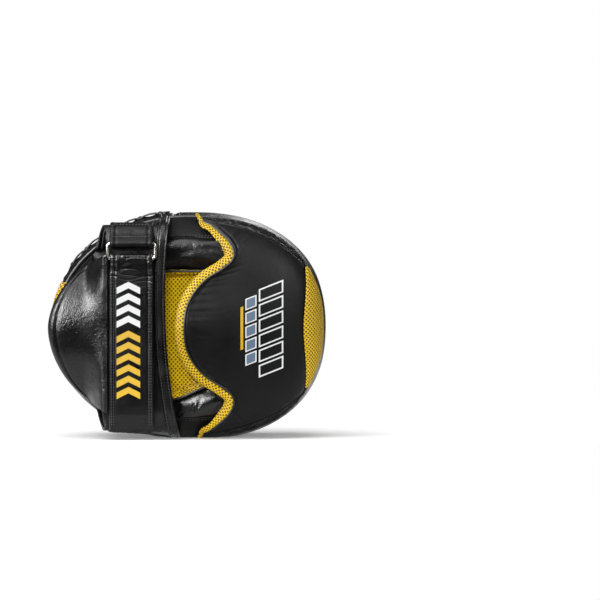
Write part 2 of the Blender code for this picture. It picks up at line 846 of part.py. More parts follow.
half_fold = FOLD_WIDTH / 2
tab_path = [on_arch(z, 1.4) for z in (200.5, 197, 193)]
tab_path += turn_round(UPPER_BAR_Z, 270 + 12, 90 - 12, 9)
tab_path += [on_arch(z, 4.0) for z in (193, 197, 200.5)]
add_ribbon(
    "ring_tab", tab_path, 2.0, STRAP_X - half_fold, STRAP_X + half_fold, BLACK_MATTE
)

corner = 3.5
ring_path = []
for cx, cz, start in (
    (STRAP_X + RING_HALF - corner, UPPER_BAR_Z - corner, 0),
    (STRAP_X - RING_HALF + corner, UPPER_BAR_Z - corner, 90),
    (STRAP_X - RING_HALF + corner, LOWER_BAR_Z + corner, 180),
    (STRAP_X + RING_HALF - corner, LOWER_BAR_Z + corner, 270),
):
    for a in spread(start, start + 90, 5):
        c, s = math.cos(math.radians(a)), math.sin(math.radians(a))
        ring_path.append((cx + corner * c, cz + corner * s, c, s))
points, faces, sides = [], [], 10
for x, z, c, s in ring_path:
    for k in range(sides):
        a = 2 * math.pi * k / sides
        out = WIRE * math.cos(a)
        points.append((x + out * c, BAR_DEPTH + WIRE * math.sin(a), z + out * s))
for i in range(len(ring_path)):
    for k in range(sides):
        a, b = i * sides, (i + 1) % len(ring_path) * sides
        m = (k + 1) % sides
        faces.append((a + k, b + k, b + m, a + m))
add("square_ring", points, faces, STEEL)

anchor_top = PEEL_Z + 2.6
fold_path = [(BAR_DEPTH - EYE_MID, anchor_top + 0.5)]
fold_path += turn_round(LOWER_BAR_Z, 270, 450, 9)
fold_path += [(BAR_DEPTH + EYE_MID - 0.6, anchor_top + 0.5)]
add_ribbon(
    "strap_ring_fold", fold_path, 2.0, STRAP_X - half_fold, STRAP_X + half_fold, BLACK_GLOSS
)

low_x, high_x = STRAP_X - STRAP_WIDTH / 2, STRAP_X + STRAP_WIDTH / 2
add_ribbon(
    "strap_anchor_layer",
    [on_arch(z, 1.6) for z in (14, 18, 23, 30, 45, 90, 130, anchor_top)],
    2.4, low_x, high_x, BLACK_GLOSS,
)


def strap_piece(name, path, round_first):
    """A strap length whose hinge end is rounded about the hinge line."""
    outer, inner = [], []
    radius = STRAP_THICK / 2
    (d0, z0), (d1, z1) = path[0], path[1]
    ud, uz = (d1 - d0) / math.dist(path[0], path[1]), (z1 - z0) / math.dist(path[0], path[1])
    for a in spread(15, 75, 3) if round_first else ():
        c, s = math.cos(math.radians(a)), math.sin(math.radians(a))
        base = (d0 - ud * radius * c, z0 - uz * radius * c)
        outer.append((base[0] - uz * radius * s, base[1] + ud * radius * s))
        inner.append((base[0] + uz * radius * s, base[1] - ud * radius * s))
    for i, (d, z) in enumerate(path):
        a, b = path[max(i - 1, 0)], path[min(i + 1, len(path) - 1)]
        size = math.dist(a, b)
        nd, nz = -(b[1] - a[1]) / size * radius, (b[0] - a[0]) / size * radius
        outer.append((d + nd, z + nz))
        inner.append((d - nd, z - nz))
    rows = [[(x, *p) for p in side] for side in (outer, inner) for x in (low_x, high_x)]
    return add_sheet(name, rows[:2], rows[2:], BLACK_GLOSS)


tip_depth = STRAP_MID - (HAND_FLOOR + CUFF_HEIGHT)
strap_piece("strap_upper", [(STRAP_MID, z) for z in (PEEL_Z, 140, 115, TIP_Z + 2.3)], True)
strap_piece(
    "strap_tip",
    [on_arch(z, tip_depth) for z in (TIP_Z, 70, 45, 32, 24, 18, 13.5, STRAP_END_Z)],
    True,
)
add_ribbon(
    "hook_fastener_patch",
    [on_arch(z, 3.7) for z in (76, 60, 45, 32, 26)],
    1.2, low_x + 3.5, high_x - 3.5, BLACK_CLOTH,
)
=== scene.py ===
"""Visual model of the focus mitt: leather, air mesh, stitching and strap over the shared frame."""

import math

import bpy
import numpy as np
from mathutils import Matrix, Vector, noise


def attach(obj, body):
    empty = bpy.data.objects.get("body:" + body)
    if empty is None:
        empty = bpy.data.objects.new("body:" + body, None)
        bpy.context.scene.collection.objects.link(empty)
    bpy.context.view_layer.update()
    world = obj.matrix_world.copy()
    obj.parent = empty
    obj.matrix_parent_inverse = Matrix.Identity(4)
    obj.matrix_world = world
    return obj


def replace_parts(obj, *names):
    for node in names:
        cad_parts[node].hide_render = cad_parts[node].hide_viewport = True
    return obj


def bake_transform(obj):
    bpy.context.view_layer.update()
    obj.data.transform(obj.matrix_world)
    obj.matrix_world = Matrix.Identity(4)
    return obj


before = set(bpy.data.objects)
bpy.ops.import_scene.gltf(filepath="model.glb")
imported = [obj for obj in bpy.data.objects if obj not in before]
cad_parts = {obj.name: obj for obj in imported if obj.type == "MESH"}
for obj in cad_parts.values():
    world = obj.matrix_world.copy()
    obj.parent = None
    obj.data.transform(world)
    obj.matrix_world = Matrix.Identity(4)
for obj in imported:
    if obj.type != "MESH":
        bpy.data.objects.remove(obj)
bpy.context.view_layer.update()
FINE = 1.0

# Shape, in millimetres: x along the mitt, depth from the striking face, z up ------------

FACE_Y = 89.0
CENTRE_Z = 104.5
HALF_LENGTH, HALF_HEIGHT = 130.0, 108.5
WRIST_POWER, FINGER_POWER = 2.0, 2.35
FACE_SEAM, BACK_SEAM, SEAM_INSET = 25.5, 102.0, 4.0
FACE_FRONT, FACE_DISH, FLAT_INSET, FLAT_SHARE = 2.0, 0.35, 28.0, 0.45
CROSS_SEAM = 97.0
HOOD_LENGTH, HOOD_WIDTH, HOOD_POWER, HOOD_HEIGHT = 125.2, 104.2, 2.5, 55.0
TONGUE_FLARE, EDGE_LIFT = 21.2, 4.5
ROLL_TURN, ROLL_LOWEST, RIM_GAP = 99.5, 94.0, 0.003
LENS_HALF, LENS_DEPTH = 61.0, 0.125
GUSSET_START, GUSSET_END = 30.0, 86.0
HAND_FLOOR = 102.3
CUFF_HEIGHT, CUFF_HALF, CUFF_POWER = 54.7, 99.0, 7.0
CUFF_FRONT, CUFF_BACK = -20.0, -75.9
GUARD_TIP, GUARD_RIDGE, GUARD_DROP = -130.0, 163.4, 0.0096
GUARD_THICK, GUARD_TUCK = 10.0, 0.42
PALM_HALF, PALM_RISE = 49.3, 20.5
ROLL_PEAK_LOW, ROLL_PEAKS, ROLL_FLANK = 126, {1: 148.5, -1: 145.0}, 120.5
WALL_RISE, WALL_LEAN, WALL_START, WALL_INSET = 34.5, 21.0, {1: -18.0, -1: -13.0}, 4.6
STRAP_X, STRAP_WIDTH, FOLD_WIDTH = -51.85, 41.5, 39.4
BAR_DEPTH, UPPER_BAR_Z, LOWER_BAR_Z, EYE_MID = 161.6, 184.0, 169.5, 3.1
PEEL_Z, TIP_Z, STRAP_MID, STRAP_END_Z = 161.0, 90.0, 163.4, 10.0
JOIN_Z = 125.0
# The hood's free edge on one side of the middle, as (side, x) points.
HOOD_EDGE = (
    (0.0, -2.0), (17.5, 0.0), (32.0, 6.6), (45.0, 18.0), (54.5, 33.0),
    (63.0, 42.4), (72.0, 44.0), (83.0, 38.0), (96.0, 23.0), (101.0, 10.0),
)


def smooth(value, low, high):
    """0 at low and 1 at high, with an easy start and end."""
    t = min(1.0, max(0.0, (value - low) / (high - low)))
    return t * t * (3 - 2 * t)


def spread(low, high, count):
    return [low + (high - low) * i / (count - 1) for i in range(count)]


def n_of(count):
    return max(4, int(count * FINE))


def cos_sin(degrees):
    return math.cos(math.radians(degrees)), math.sin(math.radians(degrees))


def bell(distance, width):
    """1 where the distance is 0, and close to 0 beyond twice the width."""
    return np.exp(-((distance / width) ** 2))


def unit(vectors):
    return vectors / np.maximum(np.linalg.norm(vectors, axis=-1, keepdims=True), 1e-9)


def run_lengths(points):
    """How far along a line of points each point is."""
    return np.concatenate([[0], np.cumsum(np.linalg.norm(np.diff(points, axis=0), axis=1))])


def side_inset(depth):
    """How far the drum's side lies inside its widest line at a depth."""
    middle, half = (FACE_SEAM + BACK_SEAM) / 2, (BACK_SEAM - FACE_SEAM) / 2
    return SEAM_INSET * ((depth - middle) / half) ** 2


def outline(angle, inset):
    """x and z on the drum's outline, moved in by inset."""
    c, s = cos_sin(angle)
    n = FINGER_POWER if c > 0 else WRIST_POWER
    a, b = HALF_LENGTH - inset, HALF_HEIGHT - inset
    r = (abs(c / a) ** n + abs(s / b) ** n) ** (-1 / n)
    return r * c, CENTRE_Z + r * s


def rim_half(x, inset):
    """Half the height of the inset outline at x."""
    n = FINGER_POWER if x > 0 else WRIST_POWER
    a, b = HALF_LENGTH - inset, HALF_HEIGHT - inset
    return b * max(0.0, 1 - abs(x / a) ** n) ** (1 / n)


def curve_through(points, steps):
    """A smooth curve through points in a plane."""
    result, last = [], len(points) - 1
    for i in range(last):
        p = [points[max(i - 1, 0)], points[i], points[i + 1], points[min(i + 2, last)]]
        for k in range(steps):
            t = k / steps
            w = (
                -t / 2 + t * t - t**3 / 2,
                1 - 2.5 * t * t + 1.5 * t**3,
                t / 2 + 2 * t * t - 1.5 * t**3,
                -t * t / 2 + t**3 / 2,
            )
            result.append(tuple(sum(a * q[c] for a, q in zip(w, p)) for c in (0, 1)))
    return result + [points[-1]]


def resampled(points, count):
    """The same line as points an even distance apart."""
    points = np.array(points, float)
    gone = run_lengths(points)
    want = np.linspace(0, gone[-1], count)
    return np.stack([np.interp(want, gone, points[:, c]) for c in range(points.shape[1])], 1)


def hood_reach(x, side):
    """0 at the middle of the hood and 1 at its rim."""
    reach = abs(x / HOOD_LENGTH) ** HOOD_POWER + abs(side / HOOD_WIDTH) ** HOOD_POWER
    return reach ** (1 / HOOD_POWER)


def hood_depth(x, side, edge_distance):
    """The hood's depth at a point this far from its free edge."""
    reach = min(hood_reach(x, side), 1.0)
    flare = math.exp(-(max(x + 3, 0) / 41.4) ** 1.21) * math.exp(-((side / 40) ** 2))
    dome = (HOOD_HEIGHT + TONGUE_FLARE * flare) * (1 - reach**HOOD_POWER) ** (1 / HOOD_POWER)
    lift = EDGE_LIFT * math.exp(-edge_distance / 13) * (1 - flare) * (1 - smooth(reach, 0.8, 1))
    return BACK_SEAM + dome + lift


def hood_rim(angle):
    c, s = cos_sin(angle)
    r = 1 / hood_reach(c, s)
    return r * c, r * s


def hood_lines(count):
    """Pairs of points, each from the hood's free edge to its rim, from side to side."""
    half = resampled(curve_through(HOOD_EDGE, 8), count)
    pairs = []
    for k in range(-(count - 1), count):
        side, x = half[abs(k)]
        pairs.append(((x, math.copysign(side, k)), hood_rim(84.0 * k / (count - 1))))
    return pairs


def lens_share(side):
    """The share of a line from the middle to the rim that the mesh lens takes."""
    return LENS_DEPTH * max(0.0, 1 - (side / LENS_HALF) ** 2)


def gusset_share(angle):
    """The share of a line from the middle to the rim that a gusset takes."""
    t = min(1.0, max(0.0, (abs(angle) - GUSSET_START) / (GUSSET_END - GUSSET_START)))
    return 0.05 * max(0.0, math.sin(math.pi * t)) ** 0.7


def palm_half(x):
    """Half the width of the palm pad at x."""
    return PALM_HALF + (max(rim_half(x, 7.0), 1.0) - PALM_HALF) * smooth(-x, 73, 92)


def palm_depth(x, side):
    """The palm pad's depth. It is higher over the heel, and lower toward the fingertips."""
    height = PALM_RISE + 10.0 * smooth(-x, 74, 98) - 10.0 * smooth(x, 30, 100)
    end = 1 - min(1.0, max(0.0, (-x - 100) / 25.5)) ** 2.5
    power = 12 - 9.7 * smooth(-x, 73, 92)
    across = 1 - min(1.0, abs(side / palm_half(x))) ** power
    return HAND_FLOOR + height * end**0.5 * across ** (1 / power)


def mesh_half(x):
    """Half the width of the mesh on the palm pad, toward the wrist."""
    wide = palm_half(x) * (0.93 - 0.2 * smooth(-x, 74, 96))
    return max(wide * max(0.0, 1 - max(0.0, (-x - 96) / 24.0) ** 2.2) ** 0.5, 2.0)


def hood_edge_x(side):
    """x of the hood's free edge."""
    side = min(abs(side), HOOD_EDGE[-1][0])
    for (s0, x0), (s1, x1) in zip(HOOD_EDGE, HOOD_EDGE[1:]):
        if side <= s1:
            return x0 + (x1 - x0) * (side - s0) / (s1 - s0)
    return HOOD_EDGE[-1][1]


def arch_depth(side):
    rise = max(0.0, 1 - min(1.0, abs(side / CUFF_HALF)) ** CUFF_POWER)
    return HAND_FLOOR + CUFF_HEIGHT * rise ** (1 / CUFF_POWER)


def arch_curve(count):
    """The cuff's arch as (side, height) points, from -1 to 1 and from 0 to 1."""
    points = []
    for a in spread(0.0, 180.0, 721):
        c, s = cos_sin(a)
        points.append((
            -math.copysign(abs(c) ** (2 / CUFF_POWER), c) * CUFF_HALF,
            abs(s) ** (2 / CUFF_POWER) * CUFF_HEIGHT,
        ))
    return [(u / CUFF_HALF, v / CUFF_HEIGHT) for u, v in resampled(points, count)]


def arch_point(x, u, v):
    """A point of the cuff at x, from a point of arch_curve. Its feet follow the drum's rim."""
    foot = rim_half(x, WALL_INSET)
    half = foot + (CUFF_HALF - foot) * smooth(v, 0.0, 0.85)
    return x, HAND_FLOOR + CUFF_HEIGHT * v, max(CENTRE_Z + half * u, 0.4)


def cuff_front(u):
    return CUFF_FRONT - 1.5 + 8.0 * u * u - 4.5 * u


def cuff_back(v, reach=13.0):
    return CUFF_BACK - reach * (1 - min(v / 0.9, 1.0))


def guard_edge(x, sign):
    """How far the wrist guard reaches to one side at x."""
    wide = 71.0 if sign > 0 else 82.0
    t = min(1.0, max(0.0, (-60.0 - x) / (-60.0 - GUARD_TIP)))
    return sign * wide * max(0.0, 1 - t**1.8) ** (1 / 1.8)


def guard_depth(x, side):
    tip = 1.5 * smooth(-x, 115, 130)
    return GUARD_RIDGE - tip - GUARD_DROP * side * side * smooth(-x, 77.5, 98)


def on_arch(z, above):
    """The depth this far above the cuff's arch."""
    return arch_depth(z - CENTRE_Z) + above


# Materials ------------------------------------------------------------------------------


class Shader:
    """A Principled material with short helpers for its nodes."""

    def __init__(self, name, colour, rough, metal=0.0, specular=0.5):
        self.material = bpy.data.materials.new(name)
        self.material.use_nodes = True
        self.tree = self.material.node_tree
        self.main = self.tree.nodes["Principled BSDF"]
        self.main.inputs["Base Color"].default_value = (*colour, 1)
        self.main.inputs["Roughness"].default_value = rough
        self.main.inputs["Metallic"].default_value = metal
        self.main.inputs["Specular IOR Level"].default_value = specular

    def node(self, kind, **values):
        made = self.tree.nodes.new(kind)
        for key, value in values.items():
            setattr(made, key, value)
        return made

    def link(self, a, b):
        self.tree.links.new(a, b)

    def noise(self, scale, detail=4.0, rough=0.55, source=None, stretch=None):
        made = self.node("ShaderNodeTexNoise")
        made.inputs["Scale"].default_value = scale
        made.inputs["Detail"].default_value = detail
        made.inputs["Roughness"].default_value = rough
        where = source or self.node("ShaderNodeTexCoord").outputs["Object"]
        if stretch:
            mapping = self.node("ShaderNodeMapping")
            mapping.inputs["Scale"].default_value = stretch
            self.link(where, mapping.inputs["Vector"])
            where = mapping.outputs["Vector"]
        self.link(where, made.inputs["Vector"])
        return made.outputs["Fac"]

    def math(self, kind, a, b=None, c=None):
        made = self.node("ShaderNodeMath", operation=kind)
        for i, value in enumerate((a, b, c)):
            if value is None:
                continue
            if isinstance(value, (int, float)):
                made.inputs[i].default_value = value
            else:
                self.link(value, made.inputs[i])
        return made.outputs[0]

    def ramp(self, value, low, high, out_low, out_high):
        made = self.node("ShaderNodeMapRange")
        for key, number in (
            ("From Min", low), ("From Max", high), ("To Min", out_low), ("To Max", out_high)
        ):
            made.inputs[key].default_value = number
        self.link(value, made.inputs["Value"])
        return made.outputs["Result"]

    def mix(self, factor, a, b):
        made = self.node("ShaderNodeMix", data_type="RGBA")
        self.link(factor, made.inputs["Factor"])
        for key, colour in (("A", a), ("B", b)):
            if isinstance(colour, tuple):
                made.inputs[key].default_value = (*colour, 1)
            else:
                self.link(colour, made.inputs[key])
        return made.outputs["Result"]

    def bump(self, height, strength, distance, under=None):
        made = self.node("ShaderNodeBump")
        made.inputs["Strength"].default_value = strength
        made.inputs["Distance"].default_value = distance
        self.link(height, made.inputs["Height"])
        if under is not None:
            self.link(under, made.inputs["Normal"])
        return made.outputs["Normal"]

    def normal(self, value):
        self.link(value, self.main.inputs["Normal"])


def leather(name, colour, rough, crease, grain, specular):
    """Leather with a pebble grain over two sizes of creases. Its gloss varies a little."""
    made = Shader(name, colour, rough, specular=specular)
    pebble = made.node("ShaderNodeTexVoronoi")
    pebble.inputs["Scale"].default_value = 900
    made.link(made.node("ShaderNodeTexCoord").outputs["Object"], pebble.inputs["Vector"])
    wide = made.noise(55, 5, 0.6)
    fine = made.noise(260, 3, 0.6)
    made.link(
        made.ramp(made.noise(38, 4, 0.65), 0.3, 0.75, rough - 0.07, rough + 0.13),
        made.main.inputs["Roughness"],
    )
    first = made.bump(wide, crease, 0.0022)
    second = made.bump(fine, grain, 0.0005, first)
    made.normal(made.bump(pebble.outputs["Distance"], grain, 0.00025, second))
    return made.material


HOLE_PITCH = (3.8, 4.3)


def air_mesh(name, colour, second_tone, hole_shade):
    """Spacer mesh: a staggered grid of small oval holes, from UVs in millimetres. The holes are
    coloured a darkened copy of the yellow, as painted shade inside the real openings.
    """
    made = Shader(name, colour, 0.65, specular=0.2)
    split = made.node("ShaderNodeSeparateXYZ")
    made.link(made.node("ShaderNodeUVMap", uv_map="UVMap").outputs["UV"], split.inputs[0])
    u = made.math("MULTIPLY", split.outputs["X"], 2 * math.pi / HOLE_PITCH[0])
    v = made.math("MULTIPLY", split.outputs["Y"], 2 * math.pi / HOLE_PITCH[1])
    even = made.math("MULTIPLY", made.math("COSINE", u), made.math("COSINE", v))
    open_part = made.ramp(even, 0.06, 0.42, 0.0, 1.0)
    open_part.node.interpolation_type = "SMOOTHSTEP"
    tone = made.mix(made.noise(140, 3), colour, second_tone)
    # The holes get a dark colour: painted shade in the mesh's openings, laid over its random tone.
    with_shaded_holes = made.mix(made.math("MULTIPLY", open_part, 0.92), tone, hole_shade)
    made.link(with_shaded_holes, made.main.inputs["Base Color"])
    solid = made.math("SUBTRACT", 1.0, open_part)
    first = made.bump(solid, 0.9, 0.0011)
    made.normal(made.bump(made.noise(900, 2), 0.25, 0.0003, first))
    return made.material


BLACK = (0.0028, 0.0028, 0.0033)
GLOSS = leather("glossy_leather", BLACK, 0.3, 0.30, 0.3, 0.28)
CREASED = leather("creased_leather", BLACK, 0.29, 0.36, 0.4, 0.38)
GRAINED = leather("grained_leather", BLACK, 0.3, 0.5, 0.75, 0.36)
MATTE = leather("matte_leather", (0.0045, 0.0045, 0.005), 0.5, 0.14, 0.35, 0.15)
# The middle colour is a random darker tone; the last is the painted shade inside the mesh holes.
MESH = air_mesh("yellow_air_mesh", (0.88, 0.59, 0.022), (0.78, 0.49, 0.012), (0.10, 0.05, 0.001))


def plain(name, colour, rough, metal=0.0, grain=0.0, scale=600):
    made = Shader(name, colour, rough, metal)
    if grain:
        made.normal(made.bump(made.noise(scale, 3), grain, 0.0006))
    return made.material


def fuzz(name):
    made = Shader(name, (0.006, 0.006, 0.007), 0.95, specular=0.2)
    made.main.inputs["Sheen Weight"].default_value = 0.12
    made.main.inputs["Sheen Roughness"].default_value = 0.5
    first = made.bump(made.noise(420, 4, 0.8), 1.0, 0.0016)
    made.normal(made.bump(made.noise(1500, 3, 0.8), 0.8, 0.0006, first))
    return made.material


FUZZ = fuzz("loop_pile")
LINING = plain("black_lining", (0.012, 0.012, 0.013), 0.85, grain=0.5)
PIPING = plain("black_piping", (0.008, 0.008, 0.009), 0.55, grain=0.15)
LACE = plain("black_lace", (0.014, 0.014, 0.015), 0.55, grain=0.6, scale=1400)
THREAD = plain("grey_thread", (0.30, 0.30, 0.29), 0.6)
DARK_THREAD = plain("black_thread", (0.035, 0.035, 0.036), 0.5)
STEEL = plain("ring_steel", (0.80, 0.77, 0.68), 0.24, metal=1.0, grain=0.03)
WHITE_PRINT = plain("white_print", (0.86, 0.86, 0.86), 0.45)
YELLOW_PRINT = plain("yellow_print", (0.74, 0.45, 0.014), 0.45)
BLUE_PRINT = plain("slate_print", (0.13, 0.19, 0.28), 0.45)
FOAM = plain("foam", (0.5, 0.5, 0.47), 0.9, grain=0.8, scale=1200)
BOARD = plain("fibre_board", (0.30, 0.22, 0.14), 0.8, grain=0.4, scale=300)

# Mesh helpers ---------------------------------------------------------------------------


def put(name, data):
    """A new object in the scene."""
    obj = bpy.data.objects.new(name, data)
    bpy.context.scene.collection.objects.link(obj)
    return obj


def to_world(points):
    """From (x, depth, z) in millimetres to the frame's metres."""
    points = np.asarray(points, float).reshape(-1, 3)
    return np.stack([points[:, 0], FACE_Y - points[:, 1], points[:, 2]], 1) * 0.001


def make(name, points, faces, material, uv=None):
    mesh = bpy.data.meshes.new(name)
    mesh.from_pydata(to_world(points).tolist(), [], [tuple(int(i) for i in f) for f in faces])
    mesh.materials.append(material)
    if uv is not None:
        layer = mesh.uv_layers.new(name="UVMap")
        loops = np.empty(len(mesh.loops), np.int32)
        mesh.loops.foreach_get("vertex_index", loops)
        layer.data.foreach_set("uv", np.asarray(uv, np.float32).reshape(-1, 2)[loops].ravel())
    mesh.polygons.foreach_set("use_smooth", [True] * len(mesh.polygons))
    obj = put(name, mesh)
    return obj


def cells(rows, cols, start=0, wrap=False):
    """The four corners of every cell of a grid, as point numbers from start."""
    i, j = np.meshgrid(np.arange(rows - 1), np.arange(cols if wrap else cols - 1), indexing="ij")
    k = (j + 1) % cols
    corners = [i * cols + j, i * cols + k, (i + 1) * cols + k, (i + 1) * cols + j]
    return np.stack(corners, -1).reshape(-1, 4) + start


def grid_of(rows, columns, point):
    return np.array([[point(row, column) for column in columns] for row in rows])


def lengths(grid, axis):
    """How far along its grid line each point is."""
    step = np.linalg.norm(np.diff(grid, axis=axis), axis=2)
    return np.concatenate([np.zeros_like(np.take(step, [0], axis)), np.cumsum(step, axis)], axis)


def normals(grid, centre, wrap=False):
    """Unit normals of a grid, pointing away from centre."""
    if wrap:
        wide = np.concatenate([grid[:, -1:], grid, grid[:, :1]], 1)
        v = (wide[:, 2:] - wide[:, :-2]) / 2
    else:
        v = np.gradient(grid, axis=1)
    n = unit(np.cross(np.gradient(grid, axis=0), v))
    out = (n * (grid - np.array(centre))).sum(2, keepdims=True)
    return n * np.where(out < 0, -1.0, 1.0)


def border(grid, axis):
    """Distance to the nearer end of each grid line along axis, in millimetres."""
    gone = lengths(grid, axis)
    total = np.take(gone, [-1], axis)
    return np.minimum(gone, total - gone)


def field(grid, size, seed, stretch=(1, 1, 1), detail=2):
    """Smooth noise at the grid's points, about -1 to 1. size is in millimetres."""
    points = grid.reshape(-1, 3) * np.array(stretch) / size + seed * 17.3
    made = [noise.fractal(Vector(p), 0.9, 2.1, detail) for p in points]
    return np.array(made).reshape(grid.shape[:2])


def ridges(grid, size, seed, stretch=(1, 1, 1)):
    """Thin creases: deepest where the noise crosses zero."""
    return -bell(field(grid, size, seed, stretch, 1), 0.10)


def shell(name, grid, material, centre, thick=2.0, move=None, wrap=False, back=None, uv=None):
    """A closed skin over a grid: moved along its normals, with a plain back."""
    grid = np.array(grid, float)
    n = normals(grid, centre, wrap)
    front = grid if move is None else grid + n * move[..., None]
    rear = grid - n * thick if back is None else np.array(back, float)
    rows, cols = grid.shape[:2]
    count = rows * cols
    faces = [cells(rows, cols, 0, wrap), cells(rows, cols, count, wrap)[:, ::-1]]
    i = np.arange(cols if wrap else cols - 1)
    k = (i + 1) % cols
    low, high = (rows - 1) * cols, count
    faces.append(np.stack([k, i, count + i, count + k], -1))
    faces.append(np.stack([low + i, low + k, high + low + k, high + low + i], -1))
    if not wrap:
        j = np.arange(rows - 1) * cols
        faces.append(np.stack([j, j + cols, count + j + cols, count + j], -1))
        e = j + cols - 1
        faces.append(np.stack([e + cols, e, count + e, count + e + cols], -1))
    if uv is None:
        uv = np.stack([lengths(grid, 0), lengths(grid, 1)], -1)
    points = np.concatenate([front.reshape(-1, 3), rear.reshape(-1, 3)])
    faces = np.concatenate(faces)
    obj = make(name, points, faces, material, np.concatenate([uv.reshape(-1, 2)] * 2))
    fix_facing(obj)
    obj.data.set_sharp_from_angle(angle=math.radians(62))
    return obj


def stack(name, rings, material):
    """A closed body from rings of points, with a flat cap at each end."""
    count = len(rings[0])
    faces = [tuple(f) for f in cells(len(rings), count, 0, True)]
    faces += [tuple(range(count))[::-1]]
    faces += [tuple(range((len(rings) - 1) * count, len(rings) * count))]
    obj = make(name, np.concatenate([np.array(r, float) for r in rings]), faces, material)
    fix_facing(obj)
    return obj


def fix_facing(obj):
    """Turns a closed mesh's faces outward."""
    mesh = obj.data
    mesh.calc_loop_triangles()
    co = np.empty(len(mesh.vertices) * 3)
    mesh.vertices.foreach_get("co", co)
    tri = np.empty(len(mesh.loop_triangles) * 3, np.int32)
    mesh.loop_triangles.foreach_get("vertices", tri)
    p = co.reshape(-1, 3)[tri.reshape(-1, 3)]
    if np.einsum("ij,ij->i", p[:, 0], np.cross(p[:, 1], p[:, 2])).sum() < 0:
        mesh.flip_normals()


def puff(grid, high, soft, dive, sharp=1.3, axes=(0, 1)):
    """Displacement of a sewn panel: full in the middle, pulled in at its seams."""
    near = np.minimum.reduce([border(grid, a) for a in axes])
    return high * (1 - np.exp(-near / soft)) - dive * np.exp(-near / sharp)


SETTLE_FRAMES = 20


def settle(grid, centre, pinned, pressure, slack, cap):
    """A sewn skin finds its own folds: cloth with its seams pinned and a little spare.

    No point moves further than cap.
    """
    rows, cols = grid.shape[:2]
    mesh = bpy.data.meshes.new("settling")
    mesh.from_pydata(to_world(grid).tolist(), [], cells(rows, cols).tolist())
    middle = to_world([centre])[0]
    out = sum(p.normal.dot(p.center - Vector(middle)) for p in mesh.polygons)
    if out < 0:
        mesh.flip_normals()
    obj = put("settling", mesh)
    group = obj.vertex_groups.new(name="seams")
    group.add([int(i) for i in np.flatnonzero(pinned.ravel())], 1.0, "REPLACE")
    cloth = obj.modifiers.new("Cloth", "CLOTH")
    sewn = cloth.settings
    sewn.quality = 6
    sewn.mass = 0.2
    sewn.tension_stiffness = sewn.compression_stiffness = 20
    sewn.shear_stiffness = 8
    sewn.bending_stiffness = 0.4
    sewn.use_pressure = True
    sewn.uniform_pressure_force = pressure
    sewn.vertex_group_mass = "seams"
    sewn.shrink_min = -slack
    sewn.effector_weights.gravity = 0
    cloth.point_cache.frame_start, cloth.point_cache.frame_end = 1, SETTLE_FRAMES
    for frame_number in range(1, SETTLE_FRAMES + 1):
        bpy.context.scene.frame_set(frame_number)
    ready = obj.evaluated_get(bpy.context.evaluated_depsgraph_get())
    points = np.empty(rows * cols * 3)
    ready.data.vertices.foreach_get("co", points)
    points = points.reshape(rows, cols, 3) * 1000
    settled = np.stack([points[..., 0], FACE_Y - points[..., 1], points[..., 2]], 2)
    bpy.data.objects.remove(obj)
    bpy.context.scene.frame_set(1)
    moved = settled - grid
    far = np.linalg.norm(moved, axis=2, keepdims=True)
    return grid + moved * np.minimum(1.0, cap / np.maximum(far, 1e-9)) * np.isfinite(moved)


def edges_of(grid, rows=2, cols=2):
    """Marks the grid's outer lines, where it is sewn."""
    marked = np.zeros(grid.shape[:2], bool)
    if rows:
        marked[:rows] = marked[-rows:] = True
    if cols:
        marked[:, :cols] = marked[:, -cols:] = True
    return marked


def tube(name, path, radius, material, sides=8, closed=False, flat=1.0, ups=None):
    """A round or flattened tube along points in millimetres."""
    path = np.array(path, float)
    ahead = np.roll(path, -1, 0) if closed else np.vstack([path[1:], path[-1:]])
    behind = np.roll(path, 1, 0) if closed else np.vstack([path[:1], path[:-1]])
    along = unit(ahead - behind)
    up = np.array([[0.0, 1.0, 0.0]]) if ups is None else np.array(ups, float)
    side = unit(np.cross(along, np.broadcast_to(up, path.shape)))
    top = np.cross(side, along)
    points = []
    for k in range(sides):
        a = 2 * math.pi * k / sides
        points.append(path + radius * math.cos(a) * side + radius * flat * math.sin(a) * top)
    points = np.stack(points, 1)
    rows = len(path)
    faces = [tuple(f) for f in cells(rows, sides, 0, True)]
    if closed:
        base = (rows - 1) * sides
        faces += [(base + k, base + (k + 1) % sides, (k + 1) % sides, k) for k in range(sides)]
    else:
        faces += [tuple(range(sides))[::-1], tuple(range((rows - 1) * sides, rows * sides))]
    obj = make(name, points.reshape(-1, 3), faces, material)
    fix_facing(obj)
    return obj


def stitches(name, lines, material=THREAD, pitch=3.3, long=2.3, wide=0.33, lift=0.25):
    """Short thread stitches along lines of (points, normals) in millimetres, as one mesh."""
    points, faces = [], []
    for path, ups in lines:
        path, ups = np.array(path, float), np.array(ups, float)
        gone = run_lengths(path)
        total = gone[-1]
        count = max(2, int(total / pitch))
        both = np.concatenate([path, ups], 1)
        for k in range(count):
            middle = (k + 0.5) * total / count
            a, b = (
                np.array([np.interp(middle + d, gone, both[:, c]) for c in range(6)])
                for d in (-long / 2, long / 2)
            )
            n = unit(a[3:] + b[3:])
            s = np.cross(unit(b[:3] - a[:3]), n)
            start = len(points)
            points += [a[:3] - n * 0.2, b[:3] - n * 0.2]
            for f in (0.22, 0.78):
                mid = a[:3] + (b[:3] - a[:3]) * f + n * lift * 0.6
                points += [mid + s * wide, mid + n * wide, mid - s * wide, mid - n * wide]
            for q in range(4):
                r = (q + 1) % 4
                faces += [
                    (start, start + 2 + q, start + 2 + r),
                    (start + 2 + q, start + 6 + q, start + 6 + r, start + 2 + r),
                    (start + 1, start + 6 + r, start + 6 + q),
                ]
    return make(name, points, faces, material)


def line_on(grid, n, row=None, col=None, above=0.0, part=slice(None)):
    """A line of points and normals along a row or column of a grid."""
    picked = (grid[row, part], n[row, part]) if row is not None else (grid[part, col], n[part, col])
    return picked[0] + picked[1] * above, picked[1]


def ride(obj, body="mitt"):
    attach(obj, body)
    return obj


